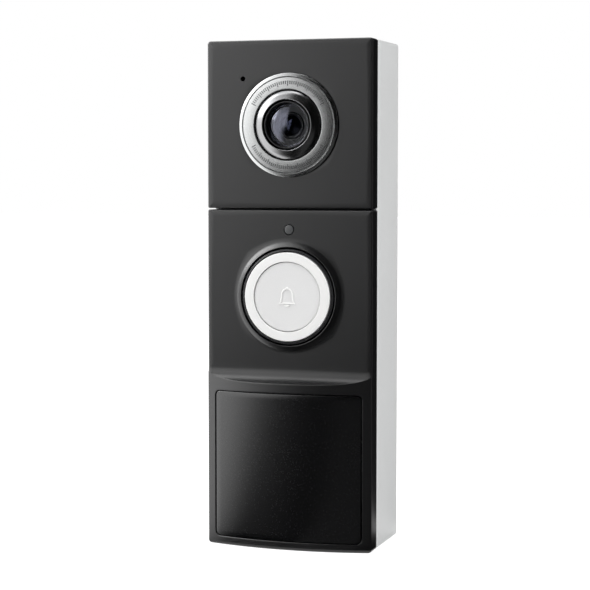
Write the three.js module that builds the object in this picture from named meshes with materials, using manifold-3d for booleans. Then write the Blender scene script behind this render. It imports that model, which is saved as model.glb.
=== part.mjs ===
// Video doorbell on its wall plate, in millimetres.
//
// Everything is drawn in a working frame with X to the right, Y up and Z out of the wall, as a person
// facing the door sees it. The group at the end turns that frame so that +Z is up and the front looks
// along -Y. The origin is the middle of the wall plate's back face.

import * as THREE from 'three';
import { mergeVertices } from 'three/addons/utils/BufferGeometryUtils.js';
import Module from 'manifold-3d';

const wasm = await Module();
wasm.setup();

// ---------------------------------------------------------------- driving dimensions

// Outside
const bodyWidth = 51;
const bodyHeight = 150;
const bodyDepth = 28.5; // back rim to the flat front
const wallGap = 0.3; // the back rim stands this far off the wall
const coverDepth = 5.2; // how far the front covers reach back
const cornerRadius = 0.9;
const edgeChamfer = 0.5;
const lipDepth = 2.0; // long shallow bevel at the housing's front edge
const lipInset = 0.35;

// Clearances
const seam = 0.3; // between pieces that are fixed together
const slideGap = 0.3; // around a piece that moves
const press = 0.15; // around an inlay

// Front covers
const splitBelowTop = 49.5; // the line between the two covers
const splitGap = 0.45;
const coverWall = 1.4;
const coverSkin = 1.6;
const coverCorner = 0.75;

// Bulge below the button, and the scoop that leads to it
const bulgeRise = 4.0; // in the middle
const bulgeEdgeRise = 0.3; // at the side edges
const bulgeSkin = 3.0;
const scoopBelowButton = 21.5;

// Motion window
const windowBorder = [2.9, 2.7]; // cover left beside and below it
const windowBelowScoop = 7.1;
const windowCorner = 1.3;
const windowThickness = 1.4;
const windowLedge = 1.3;
const windowGroove = 0.25;

// Camera
const cameraBelowTop = 24.9;
const barrelRadius = 7.05;
const barrelWall = 0.6;
const barrelProud = 2.1; // in front of the flat front
const barrelAboveFrame = 2.3;
const lensStep = 1.8; // from the barrel's back to the seat of the middle element
const domeRise = 2.0;
const domeRimBelow = 1.3; // behind the barrel's front
const domeEdge = 0.8;
const middleElement = [[1, 1.2], [0.57, 1.2], [0.38, 1.7], [0.19, 2.0], [0, 2.1]]; // share of radius, height
const rearLensRadius = 3.9;
const rearLensEdge = [0.3, 0.9, 1.3]; // back of the edge, front of the edge, middle
const coneWidth = 2.65;
const coneProud = 2.5;
const coneHeight = 1.4;
const coneDepth = 3.4;
const trimWidth = 3.8;
const trimProud = 1.2;
const ringLip = 0.35; // chamfer on a metal ring
const skirtReach = 1.3; // the sloped skirt that the ring lays on the cover
const skirtRim = 0.1;
const skirtTop = 1.1;
const holderWall = 1.35;
const holderBase = [17, 0.8]; // side and height of the lens holder's foot
const sensorSize = [8.4, 7.0, 0.8];
const cameraBoardSize = [21, 21, 1.0];
const cameraBoardBelowFrame = 0.7;

// Button
const buttonBelowTop = 75.2;
const buttonRadius = 10.2;
const buttonProud = 1.9;
const buttonTravel = 0.6;
const buttonSkin = 1.6;
const buttonWall = 1.2;
const buttonFlange = [1.0, 0.8]; // reach and thickness of the rim that keeps the cap in
const stemRadius = 2;
const plungerRadius = 1.4;
const plungerProud = 0.9; // above its switch
const switchSide = 5.2;
const switchHeight = 1.4;
const switchOverlap = 0.1; // how deep the plunger starts in the switch
const padWidth = 1.2;
const buttonBoardThickness = 1.0;
const frameFloor = 0.8; // left under the button's board
const plasticLip = 0.3; // chamfer on the cap and the light ring
const ledSize = [1.6, 1.2, 0.6];
const ledCount = 4;
const ledInset = 1.3; // from the light ring's outside
const lightRingWidth = 2.6;
const lightRingProud = 2.1;
const bezelWidth = 0.66;
const bezelProud = 1.5;
const ringGroove = 0.4; // open groove around a ring set in a cover
const collarRise = 1.15; // the lower cover flares up to the button
const collarReach = 1.6;
const collarRim = 0.25;
const collarCurve = 1.3; // 1 is a plain cone, more is hollower
const iconHeight = 5.9;
const iconWidth = 5.2;
const iconDepth = 0.5;

// Small things in the covers
const micInset = 11.2; // from the side and from the top
const micHoleRadius = 0.75;
const statusBelowTop = 55.5;
const statusRadius = 1.4;
const micCapsule = [3.4, 2.6, 1.0];
const gasketRadius = 2.2;
const lightPipeGap = 0.3;

// Rear housing and inner frame
const housingWall = 1.8;
const housingLedge = 1.6; // step that carries the seal and the inner frame
const rimExtra = 0.5; // the back rim is this much thicker than the wall
const rearWall = 2.0;
const frameThickness = 2.4;
const platformRise = 1.3; // the inner frame's raised middle, inside the covers
const sealThickness = 0.6;
const bossRadius = 2.6;
const screwRadius = 1.05;
const screwHeadRadius = 2.0;
const screwHeadHeight = 1.4;
const bossInset = [6.2, 6.5]; // from the side and from the end of the body
const driveSlot = [0.6, 2.4, 0.7];
const batteryRibX = 14;
const ribWidth = 1.5;

// Electronics
const boardThickness = 1.2;
const boardToBoss = 0.4;
const mainBoardBelowTop = 72; // its lower edge
const mainBoardBelowFrame = 1.5;
const boardScrewX = 12.4;
const boardScrewUp = 6; // above the board's lower edge
const boardScrew = { head: 1.8, height: 1.2, shank: 0.9, post: 2.4 };
const shieldSize = [20, 17, 2.4];
const shieldBelowTop = 16.5;
const socketSize = [8, 4, 3];
const socketBelowTop = 52;
const antennaSize = [0.5, 38, 8];
const antennaBelowTop = 36;
const antennaZ = 13;
const batteryRoom = [3.1, 1.0, 1.15]; // left beside it, above it and in front of it
const batteryCorner = 2;
const batteryAboveLatch = 2.6;
const pirRadius = 4.6;
const pirBelowLens = 0.55;
const pirFoot = [0.4, 0.5];
const pirBoardSize = [24, 20, 1.0];
const pirLensMargin = [6, 4]; // short of the window's opening, beside and above
const pirLensThickness = 0.6;
const frameWindow = [14, 10]; // opening behind the motion board
const speakerToBoss = 3.2;
const speakerSize = [6.4, 10.2]; // height and depth
const speakerAboveLatch = 7.4;
const speakerWall = [1.6, 1.4];
const coneThickness = 1.2;
const meshThickness = 0.4;
const soundSlots = 7;
const soundSlotWidth = 1.2;
const soundSlotInset = 2.3; // from the speaker's inner wall to the middle of the outermost slot
const soundSlotLength = 6.8;
const portMouth = [8.94, 3.26];
const portDepth = 7.0;
const portWall = 0.35;
const portTongue = [6.7, 0.7];
const portX = -3.2;
const portBoardSize = [26, 20, 1.0];
const terminalSpacing = 11;
const terminalBelowTop = 63;
const terminalBlockSize = [22, 9, 5];
const terminalScrew = { head: 2.6, height: 1.5, shank: 1.4, slot: [0.8, 6, 0.6] };

// Things on the back
const plateThickness = 2.6;
const plateGap = 0.6; // to the rim around it
const plateChamfer = 0.4;
const plateWindow = [26, 36]; // opening behind the charging port
const wireOpening = [16, 12];
const hookThickness = 0.9;
const hookLip = 0.7;
const hookWidth = 5;
const hookX = 11.5;
const hookReach = 1.2; // beyond the plate
const openingCorner = 3;
const wallScrew = { hole: 2.1, head: 4.0, countersink: 1.7 };
const flapSize = [20, 12.4, 0.7];
const flapGap = 0.4;
const flapCorner = 1.5;
const flapBelowTop = 34;
const resetRadius = 1.3;
const resetLength = 4;
const resetX = 7.0;
const resetTravel = 0.5;
const resetSwitchSide = 4.5;

// Release latch
const latchTravel = 1.5;
const latchSize = [12.4, 8.7, 1.4];
const catchWidth = 6.8;
const catchThickness = 1.8;
const catchLip = 0.8;
const catchLipThickness = 1.2;
const latchBar = 1.4; // below the opening in the latch
const latchBite = 0.2; // gap between the latch's nose and the catch's lip
const springLength = 6.5;
const springFolds = 6;
const springWire = 0.4;
const springWidth = 7;
const springSeatWall = 1.2;
const pinHoleRadius = 0.9;

// Facets on a full turn
const fine = 40;
const medium = 24;
const coarse = 12;

// ---------------------------------------------------------------- levels worked out from them

const top = bodyHeight / 2;
const bottom = -top;
const side = bodyWidth / 2;

// Along Z, from the wall outwards
const backZ = wallGap;
const frontZ = backZ + bodyDepth;
const coverBackZ = frontZ - coverDepth;
const coverInnerZ = frontZ - coverSkin;
const housingFrontZ = coverBackZ - seam;
const recessFloorZ = backZ + plateThickness + seam; // behind the wall plate
const rearInnerZ = recessFloorZ + rearWall;
const frameBackZ = housingFrontZ - frameThickness;
const platformZ = housingFrontZ + platformRise;
const ringSeatZ = platformZ + seam;
const ledgeZ = frameBackZ - seam - sealThickness;
const mainBoardZ = frameBackZ - mainBoardBelowFrame; // its front face
const mainBoardBackZ = mainBoardZ - boardThickness;

// Along Y
const splitY = top - splitBelowTop;
const cameraY = top - cameraBelowTop;
const buttonY = top - buttonBelowTop;
const statusY = top - statusBelowTop;
const micY = top - micInset;
const scoopY = buttonY - scoopBelowButton;
const windowTopY = scoopY - windowBelowScoop;
const windowBottomY = bottom + windowBorder[1];
const windowY = (windowTopY + windowBottomY) / 2;
const terminalY = top - terminalBelowTop;
const flapY = top - flapBelowTop;
const mainBoardY = top - mainBoardBelowTop;

// Across
const micX = micInset - side;
const windowWidth = bodyWidth - 2 * windowBorder[0];
const windowHeight = windowTopY - windowBottomY;
const betweenBosses = 2 * (side - bossInset[0] - bossRadius);
const mainBoardWidth = betweenBosses - 2 * boardToBoss;
const speakerWidth = betweenBosses - 2 * speakerToBoss;
const soundSlotPitch = (speakerWidth - 2 * (speakerWall[0] + soundSlotInset)) / (soundSlots - 1);

// Inside of the housing
const cavityX = side - housingWall;
const cavityY = top - housingWall;
const deepX = cavityX - housingLedge;
const deepY = cavityY - housingLedge;
const rimInnerX = cavityX - rimExtra;
const rimInnerY = cavityY - rimExtra;

// Rings around the lens and the button
const neckBore = barrelRadius + seam;
const coneOuterRadius = neckBore + coneWidth;
const trimInnerRadius = coneOuterRadius + seam;
const trimOuterRadius = trimInnerRadius + trimWidth;
const lightInnerRadius = buttonRadius + slideGap;
const lightOuterRadius = lightInnerRadius + lightRingWidth;
const bezelInnerRadius = lightOuterRadius + seam;
const bezelOuterRadius = bezelInnerRadius + bezelWidth;

// ---------------------------------------------------------------- materials

function finish(color, roughness, metalness = 0) {
  return new THREE.MeshStandardMaterial({ color, roughness, metalness, flatShading: true });
}

const blackSatin = finish(0x2c2e2e, 0.5);
const blackGloss = finish(0x0b0b0d, 0.12);
const greyShell = finish(0xcfd0d0, 0.55);
const plateGrey = finish(0xb9bbbb, 0.6);
const frameGrey = finish(0x55585a, 0.6);
const brushedRing = finish(0xb9bcbc, 0.35, 0.9);
const polishedCone = finish(0x8c8f91, 0.2, 0.95);
const darkRing = finish(0x1a1b1c, 0.4);
const lensBlack = finish(0x101113, 0.3);
const lensGlass = finish(0x1b2130, 0.05);
const capWhite = finish(0xdededd, 0.4);
const ringWhite = finish(0xf1f1ef, 0.35);
const iconWhite = finish(0xf6f6f4, 0.35);
const smoke = finish(0x555555, 0.3);
const rubberBlack = finish(0x222324, 0.85);
const siliconeGrey = finish(0x8f9294, 0.8);
const boardGreen = finish(0x1f5a3a, 0.5);
const steel = finish(0xa9abad, 0.35, 0.9);
const brass = finish(0xc2a15a, 0.35, 0.9);
const wrapBlue = finish(0x2b4a7a, 0.4);
const ledYellow = finish(0xe8e0b8, 0.4);
const mouldedBlack = finish(0x242526, 0.6);
const copper = finish(0xb87b4b, 0.4, 0.8);

// ---------------------------------------------------------------- helpers

// A closed three.js geometry as a manifold solid.
function solid(geometry) {
  geometry.deleteAttribute('normal');
  geometry.deleteAttribute('uv');
  const merged = mergeVertices(geometry);
  const corners = merged.index.array;
  const kept = [];
  for (let i = 0; i < corners.length; i += 3) {
    const [a, b, c] = corners.slice(i, i + 3);
    if (a !== b && b !== c && c !== a) {
      kept.push(a, b, c);
    }
  }
  return new wasm.Manifold(new wasm.Mesh({
    numProp: 3,
    vertProperties: merged.attributes.position.array,
    triVerts: Uint32Array.from(kept),
  }));
}

// A manifold solid as a geometry with flat faces.
function surface(body) {
  const { vertProperties, triVerts } = body.getMesh();
  const geometry = new THREE.BufferGeometry();
  geometry.setAttribute('position', new THREE.BufferAttribute(vertProperties, 3));
  geometry.setIndex(new THREE.BufferAttribute(triVerts, 1));
  const faceted = geometry.toNonIndexed();
  faceted.computeVertexNormals();
  return faceted;
}

function join(...bodies) {
  return bodies.reduce((whole, body) => whole.add(body));
}

function cut(body, ...tools) {
  return tools.reduce((left, tool) => left.subtract(tool), body);
}

// A rectangle with round corners, centred on (x, y).
function roundedRect(width, height, radius, x = 0, y = 0) {
  const [right, up] = [width / 2 - radius, height / 2 - radius];
  const shape = new THREE.Shape();
  shape.absarc(x + right, y + up, radius, 0, Math.PI / 2);
  shape.absarc(x - right, y + up, radius, Math.PI / 2, Math.PI);
  shape.absarc(x - right, y - up, radius, Math.PI, 1.5 * Math.PI);
  shape.absarc(x + right, y - up, radius, 1.5 * Math.PI, 2 * Math.PI);
  return shape;
}

// An outline in X and Y, made solid from one level to another.
function slab(shape, fromZ, toZ, curveSegments = 3) {
  const geometry = new THREE.ExtrudeGeometry(shape, {
    depth: toZ - fromZ,
    bevelEnabled: false,
    curveSegments,
  });
  return solid(geometry.translate(0, 0, fromZ));
}

// The same, with its outer edges bevelled at both ends: in by the inset over the depth.
function bevelledSlab(shape, fromZ, toZ, inset, depth = inset) {
  const geometry = new THREE.ExtrudeGeometry(shape, {
    depth: toZ - fromZ - 2 * depth,
    bevelEnabled: true,
    bevelThickness: depth,
    bevelSize: inset,
    bevelOffset: -inset,
    bevelSegments: 1,
    curveSegments: 3,
  });
  return solid(geometry.translate(0, 0, fromZ + depth));
}

// A block given by its lowest and highest corners.
function block([x0, y0, z0], [x1, y1, z1]) {
  const geometry = new THREE.BoxGeometry(x1 - x0, y1 - y0, z1 - z0);
  return solid(geometry.translate((x0 + x1) / 2, (y0 + y1) / 2, (z0 + z1) / 2));
}

// A block centred on (x, y) that stands on a level.
function blockOn([width, height, depth], x, y, fromZ) {
  return block(
    [x - width / 2, y - height / 2, fromZ],
    [x + width / 2, y + height / 2, fromZ + depth],
  );
}

// A body turned about an axis along Z through (x, y). The profile is a list of [radius, level] that
// runs outwards along the back, forwards, then inwards. One that starts off the axis is a ring.
function turned(profile, x, y, segments = medium) {
  const points = profile.map(([radius, level]) => new THREE.Vector2(radius, level));
  if (points[0].x > 0) {
    points.push(points[0].clone());
  }
  const geometry = new THREE.LatheGeometry(points, segments);
  return solid(geometry.rotateX(Math.PI / 2).translate(x, y, 0));
}

function rod(radius, x, y, fromZ, toZ, segments = medium) {
  return turned([[0, fromZ], [radius, fromZ], [radius, toZ], [0, toZ]], x, y, segments);
}

function ring(innerRadius, outerRadius, x, y, fromZ, toZ, segments = medium) {
  const profile = [
    [innerRadius, fromZ],
    [outerRadius, fromZ],
    [outerRadius, toZ],
    [innerRadius, toZ],
  ];
  return turned(profile, x, y, segments);
}

const unit = new THREE.Group();

function add(name, body, material) {
  const mesh = new THREE.Mesh(surface(body), material);
  mesh.name = name;
  unit.add(mesh);
}

// ---------------------------------------------------------------- front covers

// The blank of a cover between two heights: chamfered in front, square behind.
function coverBlank(lowY, highY) {
  const outline = roundedRect(bodyWidth, highY - lowY, coverCorner, 0, (lowY + highY) / 2);
  const middleZ = (coverBackZ + frontZ) / 2;
  return join(
    bevelledSlab(outline, coverBackZ, frontZ, edgeChamfer),
    slab(outline, coverBackZ, middleZ),
  );
}

function coverHollow(lowY, highY) {
  const width = bodyWidth - 2 * coverWall;
  const height = highY - lowY - 2 * coverWall;
  const outline = roundedRect(width, height, coverCorner, 0, (lowY + highY) / 2);
  return slab(outline, coverBackZ - 1, coverInnerZ);
}

// The round opening for a ring: a straight bore with a rounded mouth.
function ringOpening(radius, y) {
  return rod(radius + ringGroove, 0, y, coverBackZ - 1, frontZ + collarRise + 1, fine);
}

// A concave flare that rises from the flat front to the ring at (0, y)
function collar(radius, y) {
  const inner = radius + ringGroove + collarRim;
  const foot = frontZ - coverSkin / 2;
  const profile = [[radius, foot], [inner + collarReach, foot]];
  const steps = 5;
  for (let i = 0; i <= steps; i += 1) {
    const share = i / steps;
    profile.push([inner + collarReach * (1 - share), frontZ + collarRise * share ** collarCurve]);
  }
  profile.push([radius, frontZ + collarRise]);
  return turned(profile, 0, y, fine);
}

// The bulge is a cylinder along Y that is bulgeRise proud in the middle and bulgeEdgeRise at the sides.
const bulgeSag = bulgeRise - bulgeEdgeRise;
const bulgeRadius = (side * side + bulgeSag * bulgeSag) / (2 * bulgeSag);
const bulgeAxisZ = frontZ + bulgeRise - bulgeRadius;

// The space under the bulge's surface, inset by a thickness and cut off at a half width.
function archOutline(inset, halfWidth, chamfer = 0) {
  const radius = bulgeRadius - inset;
  const reach = halfWidth - chamfer;
  const half = Math.asin(reach / radius);
  const edgeZ = bulgeAxisZ + radius * Math.cos(half);
  const shape = new THREE.Shape();
  shape.moveTo(-halfWidth, coverBackZ);
  shape.lineTo(halfWidth, coverBackZ);
  if (chamfer > 0) {
    shape.lineTo(halfWidth, edgeZ - chamfer);
  }
  shape.absarc(0, bulgeAxisZ, radius, Math.PI / 2 - half, Math.PI / 2 + half);
  if (chamfer > 0) {
    shape.lineTo(-halfWidth, edgeZ - chamfer);
  }
  return shape;
}

// That space made solid between two heights.
function arch(inset, halfWidth, lowY, highY, chamfer = 0) {
  const geometry = new THREE.ExtrudeGeometry(archOutline(inset, halfWidth, chamfer), {
    depth: highY - lowY - 2 * chamfer,
    bevelEnabled: chamfer > 0,
    bevelThickness: chamfer,
    bevelSize: chamfer,
    bevelOffset: -chamfer,
    bevelSegments: 1,
    curveSegments: 16,
  });
  return solid(geometry.rotateX(Math.PI / 2).translate(0, highY - chamfer, 0));
}

// The scoop is a cylinder along X, tangent to the flat front where it starts.
function scoopCutter(extra) {
  const geometry = new THREE.CylinderGeometry(bulgeRise + extra, bulgeRise + extra, bodyWidth + 2, 40);
  geometry.rotateZ(Math.PI / 2);
  return solid(geometry.translate(0, scoopY, frontZ + bulgeRise));
}

function windowOutline(grow) {
  const radius = windowCorner + Math.max(grow, -windowCorner / 2);
  return roundedRect(windowWidth + 2 * grow, windowHeight + 2 * grow, radius, 0, windowY);
}

function makeUpperCover() {
  const low = splitY + splitGap / 2;
  const body = cut(
    coverBlank(low, top),
    coverHollow(low, top),
    ringOpening(trimOuterRadius, cameraY),
    rod(micHoleRadius, micX, micY, coverBackZ, frontZ + 1, coarse),
  );
  add('upper_front_cover', body, blackSatin);
}

function makeLowerCover() {
  const high = splitY - splitGap / 2;
  const beyond = frontZ + bulgeRise + 1;
  const bulge = cut(arch(0, side, bottom, scoopY, edgeChamfer), scoopCutter(0));
  const innerX = side - coverWall;
  const scoopBackY = scoopY - bulgeRise;
  const bulgeHollow = cut(
    arch(bulgeSkin, innerX, bottom + coverWall, scoopBackY),
    scoopCutter(coverSkin),
  );
  const seat = cut(
    slab(windowOutline(windowGroove), coverBackZ, beyond),
    arch(windowThickness + seam, side + 1, bottom - 1, scoopY),
  );
  const body = cut(
    join(coverBlank(bottom, high), bulge, collar(bezelOuterRadius, buttonY)),
    coverHollow(scoopBackY, high),
    coverHollow(bottom, scoopY),
    bulgeHollow,
    seat,
    slab(windowOutline(-windowLedge), coverBackZ, beyond),
    ringOpening(bezelOuterRadius, buttonY),
    rod(statusRadius + press, 0, statusY, coverBackZ, beyond, coarse),
  );
  add('lower_front_cover', body, blackSatin);
}

function makeMotionWindow() {
  const plate = slab(windowOutline(0), coverBackZ, frontZ + bulgeRise + 1);
  const outer = arch(0, side + 1, bottom - 1, scoopY);
  const inner = arch(windowThickness, side + 2, bottom - 2, scoopY + 1);
  add('motion_window', plate.intersect(outer).subtract(inner), blackGloss);
}

// ---------------------------------------------------------------- camera

const barrelBackZ = frameBackZ + barrelAboveFrame;
const barrelFrontZ = frontZ + barrelProud;
const barrelBore = barrelRadius - barrelWall;
const lensStepZ = barrelBackZ + lensStep;
const domeRimZ = barrelFrontZ - domeRimBelow;
const neckRadius = neckBore + holderWall;
const cameraBoardZ = frameBackZ - cameraBoardBelowFrame; // its back face
const cameraBoardFrontZ = cameraBoardZ + cameraBoardSize[2];
const holderBaseZ = cameraBoardFrontZ + seam;
const framePocketZ = holderBaseZ + holderBase[1] + seam;

function makeLensRings() {
  const face = frontZ + trimProud;
  const skirtFootZ = frontZ + seam;
  add('lens_trim_ring', turned([
    [trimInnerRadius, ringSeatZ],
    [trimOuterRadius, ringSeatZ],
    [trimOuterRadius, skirtFootZ],
    [trimOuterRadius + skirtReach, skirtFootZ],
    [trimOuterRadius + skirtReach, skirtFootZ + skirtRim],
    [trimOuterRadius, frontZ + skirtTop],
    [trimOuterRadius - ringLip, face],
    [trimInnerRadius + ringLip, face],
    [trimInnerRadius, face - ringLip],
  ], 0, cameraY, fine), brushedRing);

  const coneTop = frontZ + coneProud;
  const coneBase = coneTop - coneHeight;
  const coneBackZ = coneTop - coneDepth;
  const shoulder = coneOuterRadius - coneWidth / 3;
  add('lens_cone_ring', turned([
    [neckBore, coneBackZ],
    [coneOuterRadius, coneBackZ],
    [coneOuterRadius, coneBase],
    [shoulder, coneBase + coneHeight * 0.55],
    [neckBore + ringLip, coneTop],
    [neckBore, coneTop - ringLip],
  ], 0, cameraY, fine), polishedCone);
}

function makeLens() {
  add('lens_barrel', turned([
    [rearLensRadius + seam, barrelBackZ],
    [barrelRadius, barrelBackZ],
    [barrelRadius, barrelFrontZ - ringLip],
    [barrelRadius - ringLip, barrelFrontZ],
    [barrelBore, barrelFrontZ],
    [barrelBore, lensStepZ],
    [rearLensRadius + seam, lensStepZ],
  ], 0, cameraY), lensBlack);

  // A dome is a cap of a sphere: its levels follow a circle from the rim to the axis.
  const glassRadius = barrelBore - press;
  const domeRadius = (glassRadius ** 2 + domeRise ** 2) / (2 * domeRise);
  const domeBackZ = domeRimZ - domeEdge;
  const domeProfile = [[0, domeBackZ], [glassRadius, domeBackZ]];
  const domeSteps = 6;
  const domeHalf = Math.asin(glassRadius / domeRadius);
  for (let i = 0; i <= domeSteps; i += 1) {
    const angle = domeHalf * (1 - i / domeSteps);
    const level = domeRimZ + domeRise - domeRadius * (1 - Math.cos(angle));
    domeProfile.push([domeRadius * Math.sin(angle), level]);
  }
  add('lens_front_glass', turned(domeProfile, 0, cameraY), lensGlass);

  const middleZ = lensStepZ + seam;
  const middleFront = middleElement.map(([share, height]) => [share * glassRadius, middleZ + height]);
  add('lens_middle_element', turned(
    [[0, middleZ], [glassRadius, middleZ], ...middleFront], 0, cameraY,
  ), lensGlass);

  const rearZ = barrelBackZ + seam;
  const [edgeBack, edgeFront, middle] = rearLensEdge;
  add('lens_rear_element', turned([
    [0, rearZ],
    [rearLensRadius, rearZ + edgeBack],
    [rearLensRadius, rearZ + edgeFront],
    [0, rearZ + middle],
  ], 0, cameraY, coarse), lensGlass);
}

function makeCameraModule() {
  add('camera_board', blockOn(cameraBoardSize, 0, cameraY, cameraBoardZ), boardGreen);
  add('image_sensor', blockOn(sensorSize, 0, cameraY, cameraBoardFrontZ + press), lensBlack);

  const [baseSide, baseHeight] = holderBase;
  const neckFrontZ = coverInnerZ + seam;
  const foot = blockOn([baseSide, baseSide, baseHeight], 0, cameraY, holderBaseZ);
  const neck = rod(neckRadius, 0, cameraY, holderBaseZ + baseHeight / 2, neckFrontZ);
  const sensorRoom = [sensorSize[0] + 1, sensorSize[1] + 1, baseHeight + 1];
  const holder = cut(
    join(foot, neck),
    blockOn(sensorRoom, 0, cameraY, holderBaseZ - 0.1),
    rod(rearLensRadius, 0, cameraY, holderBaseZ, barrelBackZ, coarse),
    rod(neckBore, 0, cameraY, barrelBackZ - seam, neckFrontZ + 1),
  );
  add('lens_holder', holder, mouldedBlack);
}

// ---------------------------------------------------------------- button and light ring

const buttonFaceZ = frontZ + buttonProud;
const lightFaceZ = frontZ + lightRingProud;
const buttonPocketRadius = (lightOuterRadius + bezelInnerRadius) / 2;
const buttonPocketZ = frameBackZ + frameFloor;
const buttonBoardZ = buttonPocketZ + seam;
const buttonBoardFrontZ = buttonBoardZ + buttonBoardThickness;
const flangeRadius = buttonRadius + buttonFlange[0];
const flangeBackZ = ringSeatZ + buttonTravel;
const flangeFrontZ = flangeBackZ + buttonFlange[1];
const switchTopZ = buttonBoardFrontZ + switchHeight;
const plungerZ = switchTopZ - switchOverlap;
const capInnerRadius = buttonRadius - buttonWall;

// A bell seen from the front: straight skirt, round crown, a brim and a clapper below.
function bellOutline(grow) {
  const halfWidth = iconWidth / 2 + grow;
  const crownRadius = iconWidth * 0.36 + grow;
  const half = iconHeight / 2 + grow;
  const crownY = half - crownRadius;
  const brimY = -half + iconHeight * 0.2;
  const clapper = iconWidth * 0.16 + grow;
  const shape = new THREE.Shape();
  shape.moveTo(-clapper, -half);
  shape.lineTo(clapper, -half);
  shape.lineTo(clapper, brimY);
  shape.lineTo(halfWidth, brimY);
  shape.lineTo(crownRadius, brimY + iconHeight * 0.2);
  shape.absarc(0, crownY, crownRadius, 0, Math.PI);
  shape.lineTo(-halfWidth, brimY);
  shape.lineTo(-clapper, brimY);
  return shape;
}

function bell(grow, fromZ, toZ) {
  return slab(bellOutline(grow), fromZ, toZ, 8).translate([0, buttonY, 0]);
}

function makeButton() {
  const cap = turned([
    [0, buttonFaceZ - buttonSkin],
    [capInnerRadius, buttonFaceZ - buttonSkin],
    [capInnerRadius, flangeBackZ],
    [flangeRadius, flangeBackZ],
    [flangeRadius, flangeFrontZ],
    [buttonRadius, flangeFrontZ],
    [buttonRadius, buttonFaceZ - plasticLip],
    [buttonRadius - plasticLip, buttonFaceZ],
    [0, buttonFaceZ],
  ], 0, buttonY, fine);
  const plungerTopZ = switchTopZ + plungerProud;
  const stem = rod(stemRadius, 0, buttonY, plungerTopZ + seam, buttonFaceZ - buttonSkin / 2, coarse);
  const pocket = bell(press, buttonFaceZ - iconDepth - press, buttonFaceZ + 1);
  add('doorbell_button', cut(join(cap, stem), pocket), capWhite);
  add('bell_icon', bell(0, buttonFaceZ - iconDepth, buttonFaceZ), iconWhite);
  add('switch_plunger', rod(plungerRadius, 0, buttonY, plungerZ, plungerTopZ, coarse), mouldedBlack);
}

function makeButtonSurround() {
  const stepZ = flangeFrontZ + slideGap;
  add('light_ring', turned([
    [flangeRadius + slideGap, ringSeatZ],
    [lightOuterRadius, ringSeatZ],
    [lightOuterRadius, lightFaceZ - plasticLip],
    [lightOuterRadius - plasticLip, lightFaceZ],
    [lightInnerRadius + plasticLip, lightFaceZ],
    [lightInnerRadius, lightFaceZ - plasticLip],
    [lightInnerRadius, stepZ],
    [flangeRadius + slideGap, stepZ],
  ], 0, buttonY, fine), ringWhite);
  const bezelFaceZ = frontZ + bezelProud;
  add('button_bezel_ring', ring(
    bezelInnerRadius, bezelOuterRadius, 0, buttonY, ringSeatZ, bezelFaceZ, fine,
  ), darkRing);

  const pad = ring(
    capInnerRadius - padWidth, capInnerRadius, 0, buttonY,
    buttonBoardFrontZ + seam, flangeBackZ - buttonTravel - slideGap,
  );
  add('button_return_pad', pad, siliconeGrey);
  const board = rod(buttonPocketRadius - seam, 0, buttonY, buttonBoardZ, buttonBoardFrontZ);
  add('button_board', board, boardGreen);
  const switchZ = buttonBoardFrontZ + press;
  const boreZ = plungerZ - buttonTravel - press;
  const switchBody = cut(
    blockOn([switchSide, switchSide, switchTopZ - switchZ], 0, buttonY, switchZ),
    rod(plungerRadius + slideGap, 0, buttonY, boreZ, switchTopZ + 1, coarse),
  );
  add('button_switch', switchBody, mouldedBlack);

  const ledCircle = lightOuterRadius - ledInset;
  for (let i = 0; i < ledCount; i += 1) {
    const angle = (i + 0.5) * (2 * Math.PI / ledCount);
    const [x, y] = [ledCircle * Math.cos(angle), buttonY + ledCircle * Math.sin(angle)];
    add(`ring_led_${i + 1}`, blockOn(ledSize, x, y, buttonBoardFrontZ + press), ledYellow);
  }
}

// ---------------------------------------------------------------- motion sensor, microphone, status light

function makeMotionSensor() {
  add('motion_board', blockOn(pirBoardSize, 0, windowY, ringSeatZ), boardGreen);
  const foot = ringSeatZ + pirBoardSize[2] + press;
  const [footReach, footHeight] = pirFoot;
  const lensBackZ = frontZ + bulgeRise - windowThickness - seam - pirLensThickness;
  const sensorTopZ = lensBackZ - pirBelowLens;
  add('motion_sensor', turned([
    [0, foot],
    [pirRadius + footReach, foot],
    [pirRadius + footReach, foot + footHeight],
    [pirRadius, foot + footHeight],
    [pirRadius, sensorTopZ - footReach],
    [pirRadius - footReach, sensorTopZ],
    [0, sensorTopZ],
  ], 0, windowY, coarse), steel);

  // A bent sheet just behind the window
  const width = windowWidth - 2 * (windowLedge + pirLensMargin[0]);
  const height = windowHeight - 2 * (windowLedge + pirLensMargin[1]);
  const outline = slab(roundedRect(width, height, windowCorner, 0, windowY), coverBackZ, frontZ + bulgeRise);
  const gap = windowThickness + seam;
  const sheet = outline
    .intersect(arch(gap, side, bottom, scoopY))
    .subtract(arch(gap + pirLensThickness, side + 1, bottom - 1, scoopY + 1));
  add('motion_lens', sheet, siliconeGrey);
}

function makeMicrophone() {
  const capsuleZ = mainBoardZ + press;
  add('microphone', blockOn(micCapsule, micX, micY, capsuleZ), steel);
  const gasketZ = capsuleZ + micCapsule[2] + seam;
  add('microphone_gasket', ring(
    micHoleRadius, gasketRadius, micX, micY, gasketZ, coverInnerZ - seam, coarse,
  ), rubberBlack);
}

function makeStatusLight() {
  const ledZ = mainBoardZ + press;
  const pipeZ = ledZ + ledSize[2] + lightPipeGap;
  add('status_led', blockOn(ledSize, 0, statusY, ledZ), ledYellow);
  add('status_light_pipe', rod(statusRadius, 0, statusY, pipeZ, frontZ, coarse), smoke);
}

// ---------------------------------------------------------------- latch and catch (places shared by both)

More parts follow.
